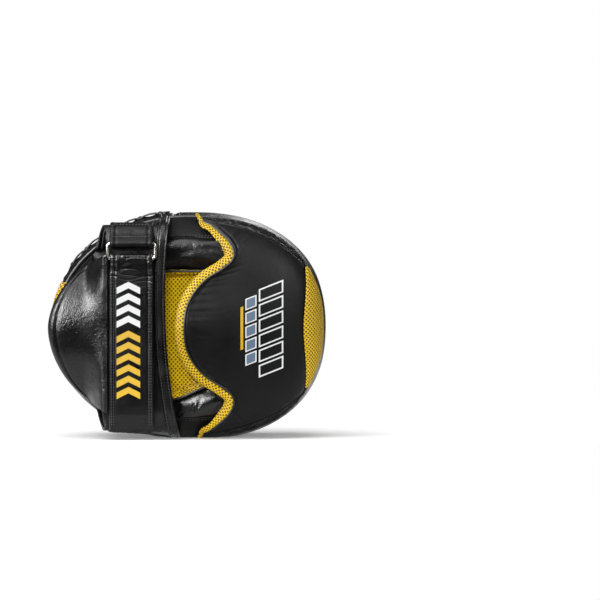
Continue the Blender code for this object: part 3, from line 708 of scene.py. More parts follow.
# Points inside the mitt, from which each cover's outer face points away.
DRUM_CENTRE = (0.0, 60.0, CENTRE_Z)
HOOD_CENTRE = (35.0, 90.0, CENTRE_Z)
CUFF_CENTRE = (-50.0, 85.0, CENTRE_Z)
PALM_CENTRE = (0, 20, CENTRE_Z)
HEEL_CENTRE = (-80, 60, CENTRE_Z)
WALL_CENTRE = (0, 60, CENTRE_Z)
GUARD_CENTRE = (-90, 60, CENTRE_Z)
STRAP_CENTRE = (STRAP_X, 60, CENTRE_Z)

# Striking face --------------------------------------------------------------------------

COLS = n_of(300)


def face_point(t, k):
    """From the middle of the striking face, at t = 0, over its rounded edge to the seam."""
    angle = 360 * k / COLS
    if t < FLAT_SHARE:
        share = t / FLAT_SHARE
        x, z = outline(angle, FLAT_INSET)
        depth = FACE_FRONT + FACE_DISH * (1 - share)
        return x * share, depth, CENTRE_Z + (z - CENTRE_Z) * share
    c, s = cos_sin(90 * (t - FLAT_SHARE) / (1 - FLAT_SHARE))
    x, z = outline(angle, FLAT_INSET - (FLAT_INSET - SEAM_INSET) * s)
    return x, FACE_SEAM - (FACE_SEAM - FACE_FRONT) * c, max(z, 0.0)


face = grid_of(spread(0.0, 1.0, n_of(64)), range(COLS), face_point)
out_from_middle = lengths(face, 0)
to_seam = out_from_middle[-1:] - out_from_middle
around = np.arange(COLS) / COLS * 2 * math.pi
pucker = (
    np.sin(around * 61 + 2.0 * np.sin(around * 7)) * 0.35
    + np.sin(around * 37 + 1.3 * np.sin(around * 5)) * 0.3
)
face_move = (
    -2.4 * np.exp(-to_seam / 1.4)
    + pucker[None] * np.exp(-to_seam / 7.0) * (1 - np.exp(-to_seam / 1.5))
    + 0.35 * field(face, 46, 1) * np.minimum(1, to_seam / 20)
)
off_floor = 1 - bell(face[..., 2], 6.0)
face_obj = shell("striking_face_leather", face, GLOSS, DRUM_CENTRE, 1.8, face_move * off_floor, True)
ride(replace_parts(face_obj, "striking_face_panel") or face_obj)


def circle(radius, depth, parts, count):
    """count points round the middle of the striking face, parts of them to a turn."""
    angles = [2 * math.pi * k / parts for k in range(count)]
    return [(radius * math.cos(a), depth, CENTRE_Z + radius * math.sin(a)) for a in angles]


patch = [
    circle(radius, depth, n_of(160), n_of(160))
    for depth, radius in (
        (1.9, 52.2), (1.2, 52.1), (0.75, 51.6), (0.5, 50.6), (0.62, 49.6), (0.4, 48.4),
        (0.15, 44), (0.1, 36), (0.08, 30),
    )
]
patch_obj = stack("target_patch_leather", patch, GLOSS)
ride(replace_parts(patch_obj, "target_patch") or patch_obj)
patch_line = (circle(49.4, 0.55, 180, 181), [(0, -1.0, 0)] * 181)
ride(stitches("target_patch_stitches", [patch_line], DARK_THREAD))

# Sides of the drum ----------------------------------------------------------------------


def drum_point(depth, angle, under=0.0, lowest=0.0):
    """A point on the drum's side, or this far under it, no lower than lowest."""
    x, z = outline(angle, side_inset(depth) + under)
    return x, depth, max(z, lowest)


def flattened(grid, move):
    """Keeps a displaced grid from pushing below the surface it stands on."""
    down = np.clip((grid[..., 2] - 1.0) / 14.0, 0, 1)
    return np.where(move > 0, move * down, move * np.maximum(down, 0.25))


depths = spread(FACE_SEAM + 0.1, BACK_SEAM - 0.1, n_of(70))
finger_angles = spread(-CROSS_SEAM, CROSS_SEAM, n_of(300))
finger = grid_of(depths, finger_angles, drum_point)
near_seam = border(finger, 0)
finger_move = (
    puff(finger, 0.0, 5.0, 2.5)
    + 0.55 * field(finger, 60, 2)
    + 0.5 * field(finger, 9, 3, (1, 0.35, 1)) * np.exp(-near_seam / 9)
)
finger_obj = shell(
    "finger_side_leather", finger, GLOSS, DRUM_CENTRE, 2.0, flattened(finger, finger_move)
)
ride(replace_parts(finger_obj, "finger_sidewall_panel") or finger_obj)

wrist_angles = spread(CROSS_SEAM, 360 - CROSS_SEAM, n_of(300))
wrist = grid_of(depths, wrist_angles, drum_point)
arc = lengths(wrist, 1)
deep = wrist[..., 1]


def groove(distance, depth, width):
    return -depth * bell(distance, width)


# Sewn lines on the wrist side: one across it, and two round it from there.
CROSS_LINE, FRONT_LINE, REAR_LINE, REAR_LINE_END = 11.0, 43.0, 88.0, 160
LACE_MIDDLE, LACE_START, LACE_PITCH, LACE_COUNT = 65.5, 14.0, 19.5, 6
along_lace = np.clip(arc, LACE_START - 6, LACE_START + LACE_PITCH * (LACE_COUNT - 1) + 8)
off_lace = np.hypot(arc - along_lace, deep - LACE_MIDDLE)
gather = 0.9 * np.cos((arc - LACE_START) / LACE_PITCH * 2 * math.pi)
wrist_move = (
    puff(wrist, 0.0, 5.0, 2.5)
    + 0.6 * field(wrist, 50, 4)
    + 0.55 * ridges(wrist, 26, 5, (1, 1.6, 1))
    + 0.5 * field(wrist, 9, 6, (1, 0.4, 1)) * np.exp(-border(wrist, 0) / 9)
    + groove(arc - CROSS_LINE, 1.3, 0.9)
    + groove(deep - FRONT_LINE, 1.2, 0.9) * (arc > CROSS_LINE)
    + groove(deep - REAR_LINE, 1.0, 0.9) * (arc > CROSS_LINE) * (arc < REAR_LINE_END)
    + groove(off_lace, 2.3, 2.2)
    + 1.3 * bell(off_lace - 6.0, 3.4) * (1 + 0.6 * gather)
)
wrist_obj = shell(
    "wrist_side_leather", wrist, GLOSS, DRUM_CENTRE, 2.0, flattened(wrist, wrist_move)
)
ride(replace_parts(wrist_obj, "wrist_sidewall_panel", "closure_underlay") or wrist_obj)

fn, wn = normals(finger, DRUM_CENTRE), normals(wrist, DRUM_CENTRE)


def at_depth(grid, n, depth, above):
    row = int(np.abs(grid[:, 0, 1] - depth).argmin())
    return line_on(grid, n, row=row, above=above)


def clear_of_floor(line, most_x=HALF_LENGTH):
    """The stretches of a line that lie above the floor, and no further than most_x."""
    points, ups = line
    clear = (points[:, 2] > 3.0) & (points[:, 0] < most_x)
    edges = np.flatnonzero(np.diff(np.concatenate([[0], clear.astype(int), [0]])))
    return [(points[a:b], ups[a:b]) for a, b in zip(edges[::2], edges[1::2]) if b - a > 3]


seam_lines = []
for grid, n in ((finger, fn), (wrist, wn)):
    seam_lines += clear_of_floor(at_depth(grid, n, FACE_SEAM + 2.8, 0.1))
ride(stitches("face_seam_stitches", seam_lines))
column = int(np.abs(arc[len(depths) // 2] - CROSS_LINE - 2.2).argmin())
cross = []
for grid, n, col, above in ((finger, fn, -5, 0.15), (finger, fn, 4, 0.15), (wrist, wn, column, 0.3)):
    cross += clear_of_floor(line_on(grid, n, col=col, above=above, part=slice(3, -3)))
ride(stitches("cross_seam_stitches", cross))
dark = clear_of_floor(at_depth(wrist, wn, FRONT_LINE + 2.2, 0.3), -28)
ride(stitches("side_panel_stitches", dark, DARK_THREAD))

for name, depth, inset, radius in (
    ("back_seam_piping", BACK_SEAM, SEAM_INSET + 0.4, 1.5),
    ("face_seam_piping", FACE_SEAM, SEAM_INSET + 1.7, 1.3),
):
    seam = []
    for angle in spread(0, 360, 361)[:-1]:
        x, z = outline(angle, inset)
        seam.append((x, depth, max(z, radius)))
    ride(tube(name, seam, radius, PIPING, 10, closed=True))
for name, angle in (("upper_cross_piping", CROSS_SEAM), ("lower_cross_piping", -CROSS_SEAM)):
    seam = [drum_point(depth, angle, 2.2, 1.2) for depth in spread(FACE_SEAM, BACK_SEAM, 40)]
    ride(tube(name, seam, 1.2, PIPING, 8, ups=[(1, 0, 0)]))

# Closure lacing -------------------------------------------------------------------------


def side_point(distance, depth, above):
    """A point this far round the wrist side from the cross seam, standing off the leather."""
    row = int(np.abs(np.array(depths) - depth).argmin())
    p = [np.interp(distance, arc[row], wrist[row, :, c]) for c in range(3)]
    q = [np.interp(distance, arc[row], wn[row, :, c]) for c in range(3)]
    p, q = np.array(p), np.array(q)
    p[1] = depth
    return p + q * above, q


def lace_part(name, stops, wide=2.1, flat=0.45):
    """A flat piece of lace through stops of (distance, depth, above)."""
    points, ups = zip(*[side_point(*s) for s in stops])
    points = np.array(points)
    fine = resampled(np.concatenate([points, np.array(ups)], 1), 22)
    return tube(name, fine[:, :3], wide, LACE, 10, flat=flat, ups=fine[:, 3:])


laces = []
low, high = LACE_MIDDLE - 7.6, LACE_MIDDLE + 7.6
for k in range(LACE_COUNT):
    s = LACE_START + k * LACE_PITCH
    laces.append(lace_part(
        f"lace_rung_{k}",
        [(s, low - 1.5, -1.0), (s, low, 1.2), (s, low + 3, 2.2), (s, LACE_MIDDLE, 2.0),
         (s, high - 3, 2.2), (s, high, 1.2), (s, high + 1.5, -1.0)],
    ))
    if k < LACE_COUNT - 1:
        for edge, name in ((low + 0.3, "low"), (high - 0.3, "high")):
            laces.append(lace_part(
                f"lace_{name}_{k}",
                [(s + 0.8, edge, 1.2), (s + 4, edge - 0.2, 2.2), (s + LACE_PITCH / 2, edge, 2.7),
                 (s + LACE_PITCH - 4, edge + 0.2, 2.2), (s + LACE_PITCH - 0.8, edge, 1.2)],
                1.7, 0.5,
            ))
laces.append(lace_part(
    "lace_end_loop",
    [(LACE_START, LACE_MIDDLE - 3, 1.8), (LACE_START - 5, LACE_MIDDLE - 4.5, 1.4),
     (LACE_START - 8.5, LACE_MIDDLE, 1.2), (LACE_START - 5, LACE_MIDDLE + 4.5, 1.4),
     (LACE_START, LACE_MIDDLE + 3, 1.8)], 1.5, 0.6,
))
for part in laces:
    ride(part)
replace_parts(laces[0], "closure_lace")

# Hood over the fingers ------------------------------------------------------------------

LINES = n_of(90)
STEPS = n_of(60)


def hood_grid(count, low, high, steps):
    """The hood between two shares of the way from its free edge to its rim."""
    grid = []
    for (ex, es), (rx, rs) in hood_lines(count):
        angle = math.degrees(math.atan2(rs, rx))
        share = 1 - max(lens_share(rs), gusset_share(angle) + RIM_GAP)
        rx, rs = rx * share, rs * share
        width = math.dist((ex, es), (rx, rs))
        row = []
        for t in spread(low, high, steps):
            x, side = ex + (rx - ex) * t, es + (rs - es) * t
            row.append((x, hood_depth(x, side, t * width), CENTRE_Z + side))
        grid.append(row)
    return np.array(grid)


hood = hood_grid(LINES, 0.0, 1.0, STEPS)
from_edge = lengths(hood, 1)
to_rim = from_edge[:, -1:] - from_edge
crimp = np.array([
    noise.noise(Vector((k * 0.37 * 90 / LINES, 3.1, 0.0))) for k in range(hood.shape[0])
])[:, None]
hood_move = (
    0.9 * bell(from_edge - 2.2, 2.0)
    - 0.7 * bell(from_edge - 5.6, 1.6)
    - 1.8 * np.exp(-from_edge / 0.7)
    - 1.9 * np.exp(-to_rim / 1.2)
    + 0.55 * field(hood, 70, 7)
    + crimp * bell(from_edge - 10, 14) * (1 - np.exp(-from_edge / 4))
    + 0.35 * ridges(hood, 40, 8) * np.exp(-from_edge / 45)
)
hood_obj = shell("hood_leather", hood, MATTE, HOOD_CENTRE, 3.0, hood_move)
ride(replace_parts(hood_obj, "finger_hood_shell") or hood_obj)

# The rolled mesh edge, from under the leather's lip round to the underside of the pad. At both
# ends it turns down over the rim. A stop is a point, the outward direction there, and in the
# turn the depth that it comes down to and how far the turn has got.
edge_line = np.array([near for near, _ in hood_lines(n_of(130))])
tangent = unit(np.gradient(edge_line, axis=0))
outward = np.stack([-tangent[:, 1], tangent[:, 0]], 1)
LIP = [(-2.6, 3.6), (-1.4, 2.8), (-0.3, 1.2)]
stops = [(*e, *n, None) for e, n in zip(edge_line, outward) if abs(e[1]) <= ROLL_TURN]
for last, sign in ((stops[-1], 1), (stops[0], -1)):
    ex, es, nx, ns, _ = last
    top = hood_depth(ex, es, 0)
    ends = []
    for q in spread(0.12, 1.0, 9):
        a = math.pi / 2 * q
        drop_to = top + 1.2 - (top - ROLL_LOWEST) * (1 - math.cos(a)) ** 1.3
        ends.append((ex - 7.5 * q, es + sign * 8.2 * math.sin(a), nx, ns, (drop_to, q)))
    stops = stops + ends if sign > 0 else ends[::-1] + stops
lip = []
for ex, es, nx, ns, base in stops:
    full = smooth(102.5 - abs(es), 0, 22)
    height, q = base or (0.0, 0.0)
    turn = smooth(q, 0, 0.6)
    width, drop = (4.6 + 10 * q * (1 - q)) * (1 - 0.4 * q) + 4.4 * full, 3.0 + 6.5 * full
    profile = list(LIP)
    for a in spread(12, 180, n_of(24)):
        c, s = cos_sin(a)
        profile.append((width * max(s, 0.0) ** 0.75, 0.6 + drop * (1 - c) / 2))
    profile.append((-6.0 * full, drop + 1.0))
    row = []
    for out, down in profile:
        out = out * min(1.0, 0.15 + full) if out < 0 else out
        x, side = ex + nx * out, es + ns * out * (1 - 0.7 * turn)
        surface = hood_depth(x, side, max(0.0, -out)) * (1 - turn) + height * turn
        surface += 2.6 * smooth(abs(es), 92, ROLL_TURN) * (1 - 0.5 * q)
        row.append((x, max(surface - down, ROLL_LOWEST), max(CENTRE_Z + side, 0.3)))
    lip.append(row)
lip = np.array(lip)
along_lip = np.broadcast_to(lengths(lip, 0)[:, 4:5], lip.shape[:2])
lip_uv = np.stack([along_lip, lengths(lip, 1)], -1)
lip_obj = shell(
    "hood_mesh_roll", lip, MESH, HOOD_CENTRE, 0.8, 0.3 * field(lip, 12, 9), uv=lip_uv
)
ride(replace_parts(lip_obj, "hood_edge_roll") or lip_obj)
piping = np.array([
    (ex + nx * 0.5, hood_depth(ex + nx * 0.5, es + ns * 0.5, 0) + 0.2, CENTRE_Z + es + ns * 0.5)
    for (ex, es), (nx, ns) in zip(edge_line, outward)
])
ride(tube("hood_edge_piping", resampled(piping, n_of(260)), 0.8, PIPING, 8))

under = hood_grid(n_of(60), 0.015, 0.8, n_of(30))
un = normals(under, HOOD_CENTRE)
cut = slice(len(under) // 7, -(len(under) // 7))
under_mid = under[cut] - un[cut] * 8.6
under_obj = shell(
    "hood_mesh_lining", under_mid, MESH, HOOD_CENTRE, 1.0,
    -0.8 * np.exp(-border(under_mid, 1) / 5), back=under[cut] - un[cut] * 4.0,
)
ride(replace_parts(under_obj, "finger_hood_lining") or under_obj)

lens = []
for angle in spread(-27.3, 27.3, n_of(90)):
    rx, rs = hood_rim(angle)
    share = lens_share(rs)
    row = []
    for t in spread(0.0, 1.0, n_of(22)):
        k = 1 - share + (share - 0.0004) * t
        row.append((rx * k, hood_depth(rx * k, rs * k, 60), CENTRE_Z + rs * k))
    foot = 8.5 * max(0.0, 1 - (rs / 58.0) ** 2) ** 0.8
    for t in spread(0.25, 1.0, n_of(6)):
        depth = BACK_SEAM - foot * t
        ox, oz = outline(angle * 0.985, side_inset(depth) - 0.7)
        row.append((ox, depth, oz))
    lens.append(row)
lens = np.array(lens)
lens_obj = shell(
    "finger_end_mesh", lens, MESH, HOOD_CENTRE, 1.0, puff(lens, 1.4, 7.0, 1.0, 1.0)
)
ride(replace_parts(lens_obj, "finger_end_mesh_panel") or lens_obj)

for name, sign in (("upper_hood_gusset", 1), ("lower_hood_gusset", -1)):
    gusset = []
    for angle in spread(GUSSET_START - 1.0, GUSSET_END, n_of(150)):
        rx, rs = hood_rim(sign * angle)
        row = []
        for t in spread(0.0, 1.0, n_of(26)):
            k = 0.9996 - (gusset_share(angle) + 0.004) * t
            row.append((rx * k, hood_depth(rx * k, rs * k, 60), CENTRE_Z + rs * k))
        gusset.append(row)
    gusset = np.array(gusset)
    span = border(gusset, 1)
    ends = np.minimum(1, border(gusset, 0) / 25)
    fold = ridges(gusset, 17, 10 + sign, (1.3, 0.55, 1.3)) + 0.7 * field(
        gusset, 13, 12 + sign, (1.4, 0.5, 1.4)
    )
    gusset_move = puff(gusset, 1.6, 5.0, 1.6, 1.2, (1,)) + 0.8 * fold * ends * np.minimum(
        1, span / 3.0
    )
    gusset = settle(gusset, HOOD_CENTRE, edges_of(gusset), 3.0, 0.025, 2.5)
    made = shell(name + "_leather", gusset, MATTE, HOOD_CENTRE, 2.2, gusset_move * 0.6)
    ride(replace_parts(made, name) or made)

# Palm, heel and side rolls --------------------------------------------------------------


def roll_size(x, sign):
    """Inner side, top side, middle, shoulder and peak of a side roll at x."""
    inner = PALM_HALF + 0.3 + (0 if sign > 0 else 12 * (1 - smooth(x, -20, 26)))
    top = max(rim_half(x, 5.0) - 21.6, inner + 6.0)
    rise = min(1.0, (top - inner) / 28.0)
    peak = ROLL_PEAK_LOW + (ROLL_PEAKS[sign] - ROLL_PEAK_LOW) * rise
    return inner, top, inner + 0.49 * (top - inner), peak - 12.0 * rise, peak


def under_hood(x, side, depth, room):
    """Lowers a depth to leave room for the hood where the hood lies over it."""
    edge = hood_edge_x(side)
    roof = max(hood_depth(x, side, 99) - room, HAND_FLOOR + 1.0)
    return depth - max(0.0, depth - roof) * smooth(x, edge - 5.0, edge + 3.0)


def roll_ring(x, sign, count):
    """The section of a side roll at x, as (depth, side) points from its foot outward."""
    foot = rim_half(x, 5.0) - 6.0
    inner, top, middle, shoulder, peak = roll_size(x, sign)
    low = min(ROLL_FLANK, peak - 6)
    section = [(HAND_FLOOR, foot), (shoulder - 4, top + 1.5)]
    for a in spread(5, 90, 9):
        c, s = cos_sin(a)
        section.append((shoulder + (peak - shoulder) * s, middle + (top - middle) * c))
    for a in spread(80, 0, 9):
        c, s = cos_sin(a)
        section.append((low + (peak - low) * s, middle - (middle - inner) * c))
    section.append((HAND_FLOOR + 8, inner))
    return resampled([(under_hood(x, side, d, 9.5), side) for d, side in section], count)


def palm_side(x, sign):
    """The mesh from the middle of the palm out and up the inner flank of a side roll."""
    inner, _, middle, _, peak = roll_size(x, sign)
    stop = 0.75 if sign > 0 else 0.3 + 0.4 * smooth(x, -20, 26)
    low = min(ROLL_FLANK, peak - 6)
    flat = inner - 5.5
    path = [(side, palm_depth(x, min(side, 44.0))) for side in spread(0.0, flat, 12)]
    path += [(inner - 2.4, path[-1][1] + 0.8), (inner - 0.9, path[-1][1] + 3.0)]
    for c in spread(0.985, stop, 8):
        s = math.sqrt(max(0.0, 1 - c * c))
        path.append((middle - (middle - inner) * c - 0.5, low + (peak - low) * s + 0.7))
    return [(side, under_hood(x, side, d, 9.0)) for side, d in path]


palm = []
half_count = n_of(52)
for x in spread(-119.5, 103, n_of(170)):
    share = smooth(x, -78, -66)
    row = []
    for sign in (-1, 1):
        plain_path = [(s, palm_depth(x, s)) for s in spread(0.0, mesh_half(x), 20)]
        both = resampled(plain_path, half_count)
        if share > 0:
            both = both * (1 - share) + resampled(palm_side(x, sign), half_count) * share
        half_row = [(x, d, CENTRE_Z + sign * s) for s, d in both]
        row += half_row[:0:-1] if sign < 0 else half_row
    palm.append(row)
palm = np.array(palm)
palm_fixed = edges_of(palm, 2, 3) | (palm[..., 0] < -70)
palm = settle(palm, PALM_CENTRE, palm_fixed, 1.2, 0.004, 2.0)
palm_move = 0.5 * field(palm, 40, 15) - 0.9 * np.exp(-border(palm, 1) / 1.4)
across = lengths(palm, 1)
palm_uv = np.stack([palm[..., 0], across - across[:, half_count - 1 : half_count]], -1)
palm_obj = shell("palm_mesh", palm, MESH, PALM_CENTRE, 1.4, palm_move, uv=palm_uv)
ride(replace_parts(palm_obj, "palm_mesh_cover", "palm_foam_cushion") or palm_obj)
for name, col in (("lower", 0), ("upper", -1)):
    line = palm[(palm[:, 0, 0] > -71) & (palm[:, 0, 0] < 62), col]
    ride(tube(f"palm_{name}_piping", resampled(line + [0, 0.5, 0], n_of(120)), 1.1, PIPING, 8))

HEEL_START, HEEL_LONG = -89.0, 30.6
heel_angle = math.degrees(math.atan2(palm_half(HEEL_START), -HEEL_START))
heel = []
for t in spread(0.0, 1.0, n_of(120)):
    x = HEEL_START - HEEL_LONG * math.sin(math.pi * t) ** 0.8
    sign = -math.cos(math.pi * t)
    inner_side = math.copysign(mesh_half(x) + 0.2, sign) if abs(sign) > 0.01 else 0.0
    ox, oz = outline(180 + heel_angle * (1 - 2 * t), 6.0)
    row = []
    for s in spread(0.0, 1.0, n_of(26)):
        px, side = x + (ox - x) * s, inner_side + (oz - CENTRE_Z - inner_side) * s
        row.append((px, max(palm_depth(px, side), HAND_FLOOR), CENTRE_Z + side))
    heel.append(row)
heel = np.array(heel)
heel_back = heel.copy()
heel_back[..., 1] -= 1.6
heel_obj = shell(
    "heel_side_leather", heel, GLOSS, HEEL_CENTRE, 1.6,
    0.4 * field(heel, 18, 16) - 1.0 * np.exp(-border(heel, 1) / 1.4), back=heel_back,
)
ride(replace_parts(heel_obj, "heel_side_cover") or heel_obj)

# The palm mesh runs on over the middle of the heel and is sewn down at the drum's rim.
HEEL_MESH_LOW, HEEL_MESH_HIGH = 84.0, 146.5
heel_mesh = []
for row, away in zip(heel, normals(heel, HEEL_CENTRE)):
    if HEEL_MESH_LOW < row[-1, 2] < HEEL_MESH_HIGH:
        angle = math.degrees(math.atan2(row[-1, 2] - CENTRE_Z, row[-1, 0]))
        over_rim = []
        for inset, above in ((3.6, 1.4), (1.4, 1.1), (-0.4, -0.4), (-0.5, -2.6)):
            x, z = outline(angle, inset)
            over_rim.append((x, HAND_FLOOR + above, z))
        heel_mesh.append(list(row + away * 0.8) + over_rim)
heel_mesh = np.array(heel_mesh)
heel_uv = np.stack([heel_mesh[..., 2], lengths(heel_mesh, 1)], -1)
ride(shell("heel_mesh", heel_mesh, MESH, HEEL_CENTRE, 1.0, uv=heel_uv))

for name, sign in (("upper_bolster", 1), ("lower_bolster", -1)):
    roll = []
    for x in spread(-71.5, 60, n_of(130)):
        roll.append([(x, d, CENTRE_Z + sign * side) for d, side in roll_ring(x, sign, n_of(60))])
    roll = np.array(roll)
    centre = (0.0, 112.0, CENTRE_Z + sign * 68)
    crest = np.clip((roll[..., 1] - 118) / 12, 0, 1)
    roll = settle(roll, centre, edges_of(roll, 2, 12), 4.0, 0.03, 3.0)
    roll_move = crest * (1.0 if sign > 0 else 0.6) * (
        0.7 * ridges(roll, 30, 20 + sign, (0.55, 1.0, 1.6))
        + 0.7 * field(roll, 17, 22 + sign, (0.5, 1.0, 1.5))
        + 0.5 * field(roll, 40, 24 + sign)
    )
    made = shell(name + "_leather", roll, CREASED, centre, 2.0, roll_move)
    ride(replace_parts(made, name) or made)

for name, sign in (("upper_side_wall", 1), ("lower_side_wall", -1)):
    wall = []
    for s in spread(0.0, 1.0, n_of(30)):
        row = []
        for t in spread(0.0, 1.0, n_of(60)):
            high = hood_edge_x(103.6 - WALL_LEAN * s) + 1.0
            x = WALL_START[sign] + (high - WALL_START[sign]) * t
            side = rim_half(x, WALL_INSET) - WALL_LEAN * s
            bow = 1.6 * math.sin(math.pi * s)
            sink = 6.0 * s * smooth(x, high - 14.0, high - 5.0)
            depth = HAND_FLOOR + WALL_RISE * s + bow - sink
            row.append((x, depth, max(CENTRE_Z + sign * (side + bow), 0.4)))
        wall.append(row)
    wall = np.array(wall)
    wall_n = normals(wall, WALL_CENTRE)
    wall_move = 0.4 * field(wall, 30, 30 + sign) - 1.2 * np.exp(-border(wall, 0) / 1.2)
    made = shell(name + "_leather", wall, MATTE, WALL_CENTRE, 2.0, wall_move)
    ride(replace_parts(made, name) or made)
    rows = [int(len(wall) * f) for f in (0.84, 0.92)]
    ride(stitches(
        name + "_stitches",
        [line_on(wall, wall_n, row=r, above=0.35, part=slice(2, -2)) for r in rows],
        DARK_THREAD, 2.8, 2.0,
    ))

# Cuff over the back of the hand ---------------------------------------------------------


def cuff_grid(front, back, steps, curve):
    grid = []
    for u, v in curve:
        low, high = back(u, v), front(u, v)
        grid.append([arch_point(x, u, v) for x in spread(low, high, steps)])
    return np.array(grid)


CURVE = arch_curve(n_of(200))
cuff = cuff_grid(lambda u, v: cuff_front(u), lambda u, v: cuff_back(v), n_of(44), CURVE)
cuff_move = 0.5 * field(cuff, 34, 40) + 0.35 * ridges(cuff, 24, 41)
low_side = np.clip((cuff[..., 2] - 0.4) / 6, 0, 1)
cuff_obj = shell("cuff_leather", cuff, GLOSS, CUFF_CENTRE, 2.8, cuff_move * low_side)
ride(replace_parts(cuff_obj, "cuff_arch_shell") or cuff_obj)

lining = cuff_grid(
    lambda u, v: cuff_front(u) - 0.4, lambda u, v: cuff_back(v, 10.0) + 0.5, n_of(20), CURVE[4:-4]
)
ln = normals(lining, CUFF_CENTRE)
lining_obj = shell(
    "cuff_lining_fabric", lining - ln * 3.2, LINING, CUFF_CENTRE, 2.4,
    0.4 * field(lining, 20, 42),
)
ride(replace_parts(lining_obj, "cuff_lining") or lining_obj)

band = cuff_grid(
    lambda u, v: cuff_front(u) + 1.6, lambda u, v: cuff_front(u) - 9.2, n_of(26),
    [c for c in CURVE[1:-1] if c[1] > 0.06],
)
band_n = normals(band, CUFF_CENTRE)
band_across = lengths(band, 1)
band_share = band_across / band_across[:, -1:]
band_move = (
    0.2 + 2.5 * np.sqrt(np.maximum(0.0, 1 - np.abs(2 * band_share - 1) ** 3.2))
    - 0.9 * np.exp(-((band_share - 0.22) / 0.05) ** 2)
    - 0.9 * np.exp(-((band_share - 0.80) / 0.05) ** 2)
    + 0.35 * field(band, 13, 43, (0.6, 1, 1))
)
band_low = np.clip((band[..., 2] - 0.2) / 4, 0.05, 1)
band_obj = shell("cuff_binding_leather", band, GLOSS, CUFF_CENTRE, 0.1, band_move * band_low)
ride(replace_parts(band_obj, "cuff_front_binding") or band_obj)
band_cols = [int(band.shape[1] * f) for f in (0.22, 0.80)]
ride(stitches(
    "cuff_binding_stitches",
    [line_on(band, band_n, col=c, above=1.9, part=slice(6, -6)) for c in band_cols],
    DARK_THREAD, 2.9, 2.1, 0.38,
))

pile = cuff_grid(
    lambda u, v: -40.0 + 9.0 * v, lambda u, v: -84.0 + 14.0 * v, n_of(50),
    [c for c in arch_curve(n_of(420)) if c[0] < 0 and 0.1 < c[1] < 0.86],
)
pile_move = 1.3 + 0.5 * field(pile, 3.0, 44, detail=3) - 1.0 * np.exp(
    -np.minimum(border(pile, 0), border(pile, 1)) / 1.0
)
pile_obj = shell("loop_pile_panel", pile, FUZZ, CUFF_CENTRE, 0.0, pile_move, back=pile)
ride(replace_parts(pile_obj, "loop_fastener_panel") or pile_obj)

# Wrist guard ----------------------------------------------------------------------------


def guard_lines(count, steps):
    """Lines from the strap out over the hinge to the rounded edge of the guard."""
    grid = []
    start_x = CUFF_BACK + 1.5
    low, high = guard_edge(start_x, -1) - 1.0, guard_edge(start_x, 1) + 1.0
    for k in range(count):
        f = -1 + 2 * k / (count - 1)
        start_side = low + (high - low) * (f + 1) / 2
        bend = math.asin(max(-1.0, min(1.0, f)))
        x_end = start_x - 2.0 - (-GUARD_TIP + start_x - 2.0) * math.cos(bend) ** 0.85
        end_side = guard_edge(x_end, 1 if f > 0 else -1)
        if x_end <= GUARD_TIP + 0.02:
            end_side = 0.0
        row = []
        for t in spread(0.0, 1.0, steps):
            x = start_x + (x_end - start_x) * t
            side = start_side + (end_side - start_side) * t
            row.append((x, guard_depth(x, side), CENTRE_Z + side))
        grid.append(row)
    return np.array(grid)


guard = guard_lines(n_of(140), n_of(70))
guard_out = lengths(guard, 1)
to_edge = guard_out[:, -1:] - guard_out
lateral = guard[..., 2] - CENTRE_Z
thick = GUARD_THICK * (1 - 0.45 * np.minimum(1.0, (lateral / 66) ** 2))
roundness = np.sqrt(np.clip(1 - (1 - np.minimum(1, to_edge / 6.0)) ** 2, 0, 1))
tuck = GUARD_TUCK * thick * (1 - roundness)
crease = ridges(guard, 60, 50) * 0.25 + field(guard, 34, 51) * 0.6
guard_top = guard.copy()
guard_top[..., 1] += (
    crease * np.minimum(1, to_edge / 8) * 0.9 - tuck
    + 0.6 * bell(to_edge - 4.0, 2.0) - 0.8 * bell(to_edge - 8.0, 1.4)
)
guard_low = guard.copy()
guard_low[..., 1] -= thick - tuck - 0.3
guard_obj = shell(
    "wrist_guard_leather", guard_top, GRAINED, GUARD_CENTRE, 1.0, None, back=guard_low
)
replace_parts(guard_obj, "wrist_guard_base", "wrist_guard_flap", "wrist_guard_lining")
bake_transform(guard_obj)

# Ring, tab and strap --------------------------------------------------------------------

RING_CORNER, RING_HALF = 3.5, 22.2
ring_path = []
for start, to_right, cz in (
    (0, 1, UPPER_BAR_Z - RING_CORNER), (90, -1, UPPER_BAR_Z - RING_CORNER),
    (180, -1, LOWER_BAR_Z + RING_CORNER), (270, 1, LOWER_BAR_Z + RING_CORNER),
):
    cx = STRAP_X + to_right * (RING_HALF - RING_CORNER)
    for a in spread(start, start + 90, 9):
        c, s = cos_sin(a)
        ring_path.append((cx + RING_CORNER * c, BAR_DEPTH, cz + RING_CORNER * s))
ring_obj = tube("square_ring_wire", ring_path, 1.6, STEEL, 16, closed=True)
ride(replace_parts(ring_obj, "square_ring") or ring_obj, "ring")


SIDE_ROUND = 1.28


def ribbon_grid(path, steps, width, across, thick):
    """Front and back grids of a flat strap along (depth, z) points, with rounded sides."""
    path = resampled(path, steps)
    t = unit(np.gradient(path, axis=0))
    n = np.stack([-t[:, 1], t[:, 0]], 1)
    front, back = [], []
    for (d, z), (nd, nz) in zip(path, n):
        f_row, b_row = [], []
        for s in spread(-1, 1, across):
            x = STRAP_X + s * width / 2
            rim = max(0.0, (abs(s) - 1) * width / 2 + SIDE_ROUND) / SIDE_ROUND
            h = thick / 2 * math.sqrt(max(0.04, 1 - rim * rim))
            f_row.append((x, d + nd * h, z + nz * h))
            b_row.append((x, d - nd * h, z - nz * h))
        front.append(f_row)
        back.append(b_row)
    return np.array(front), np.array(back)


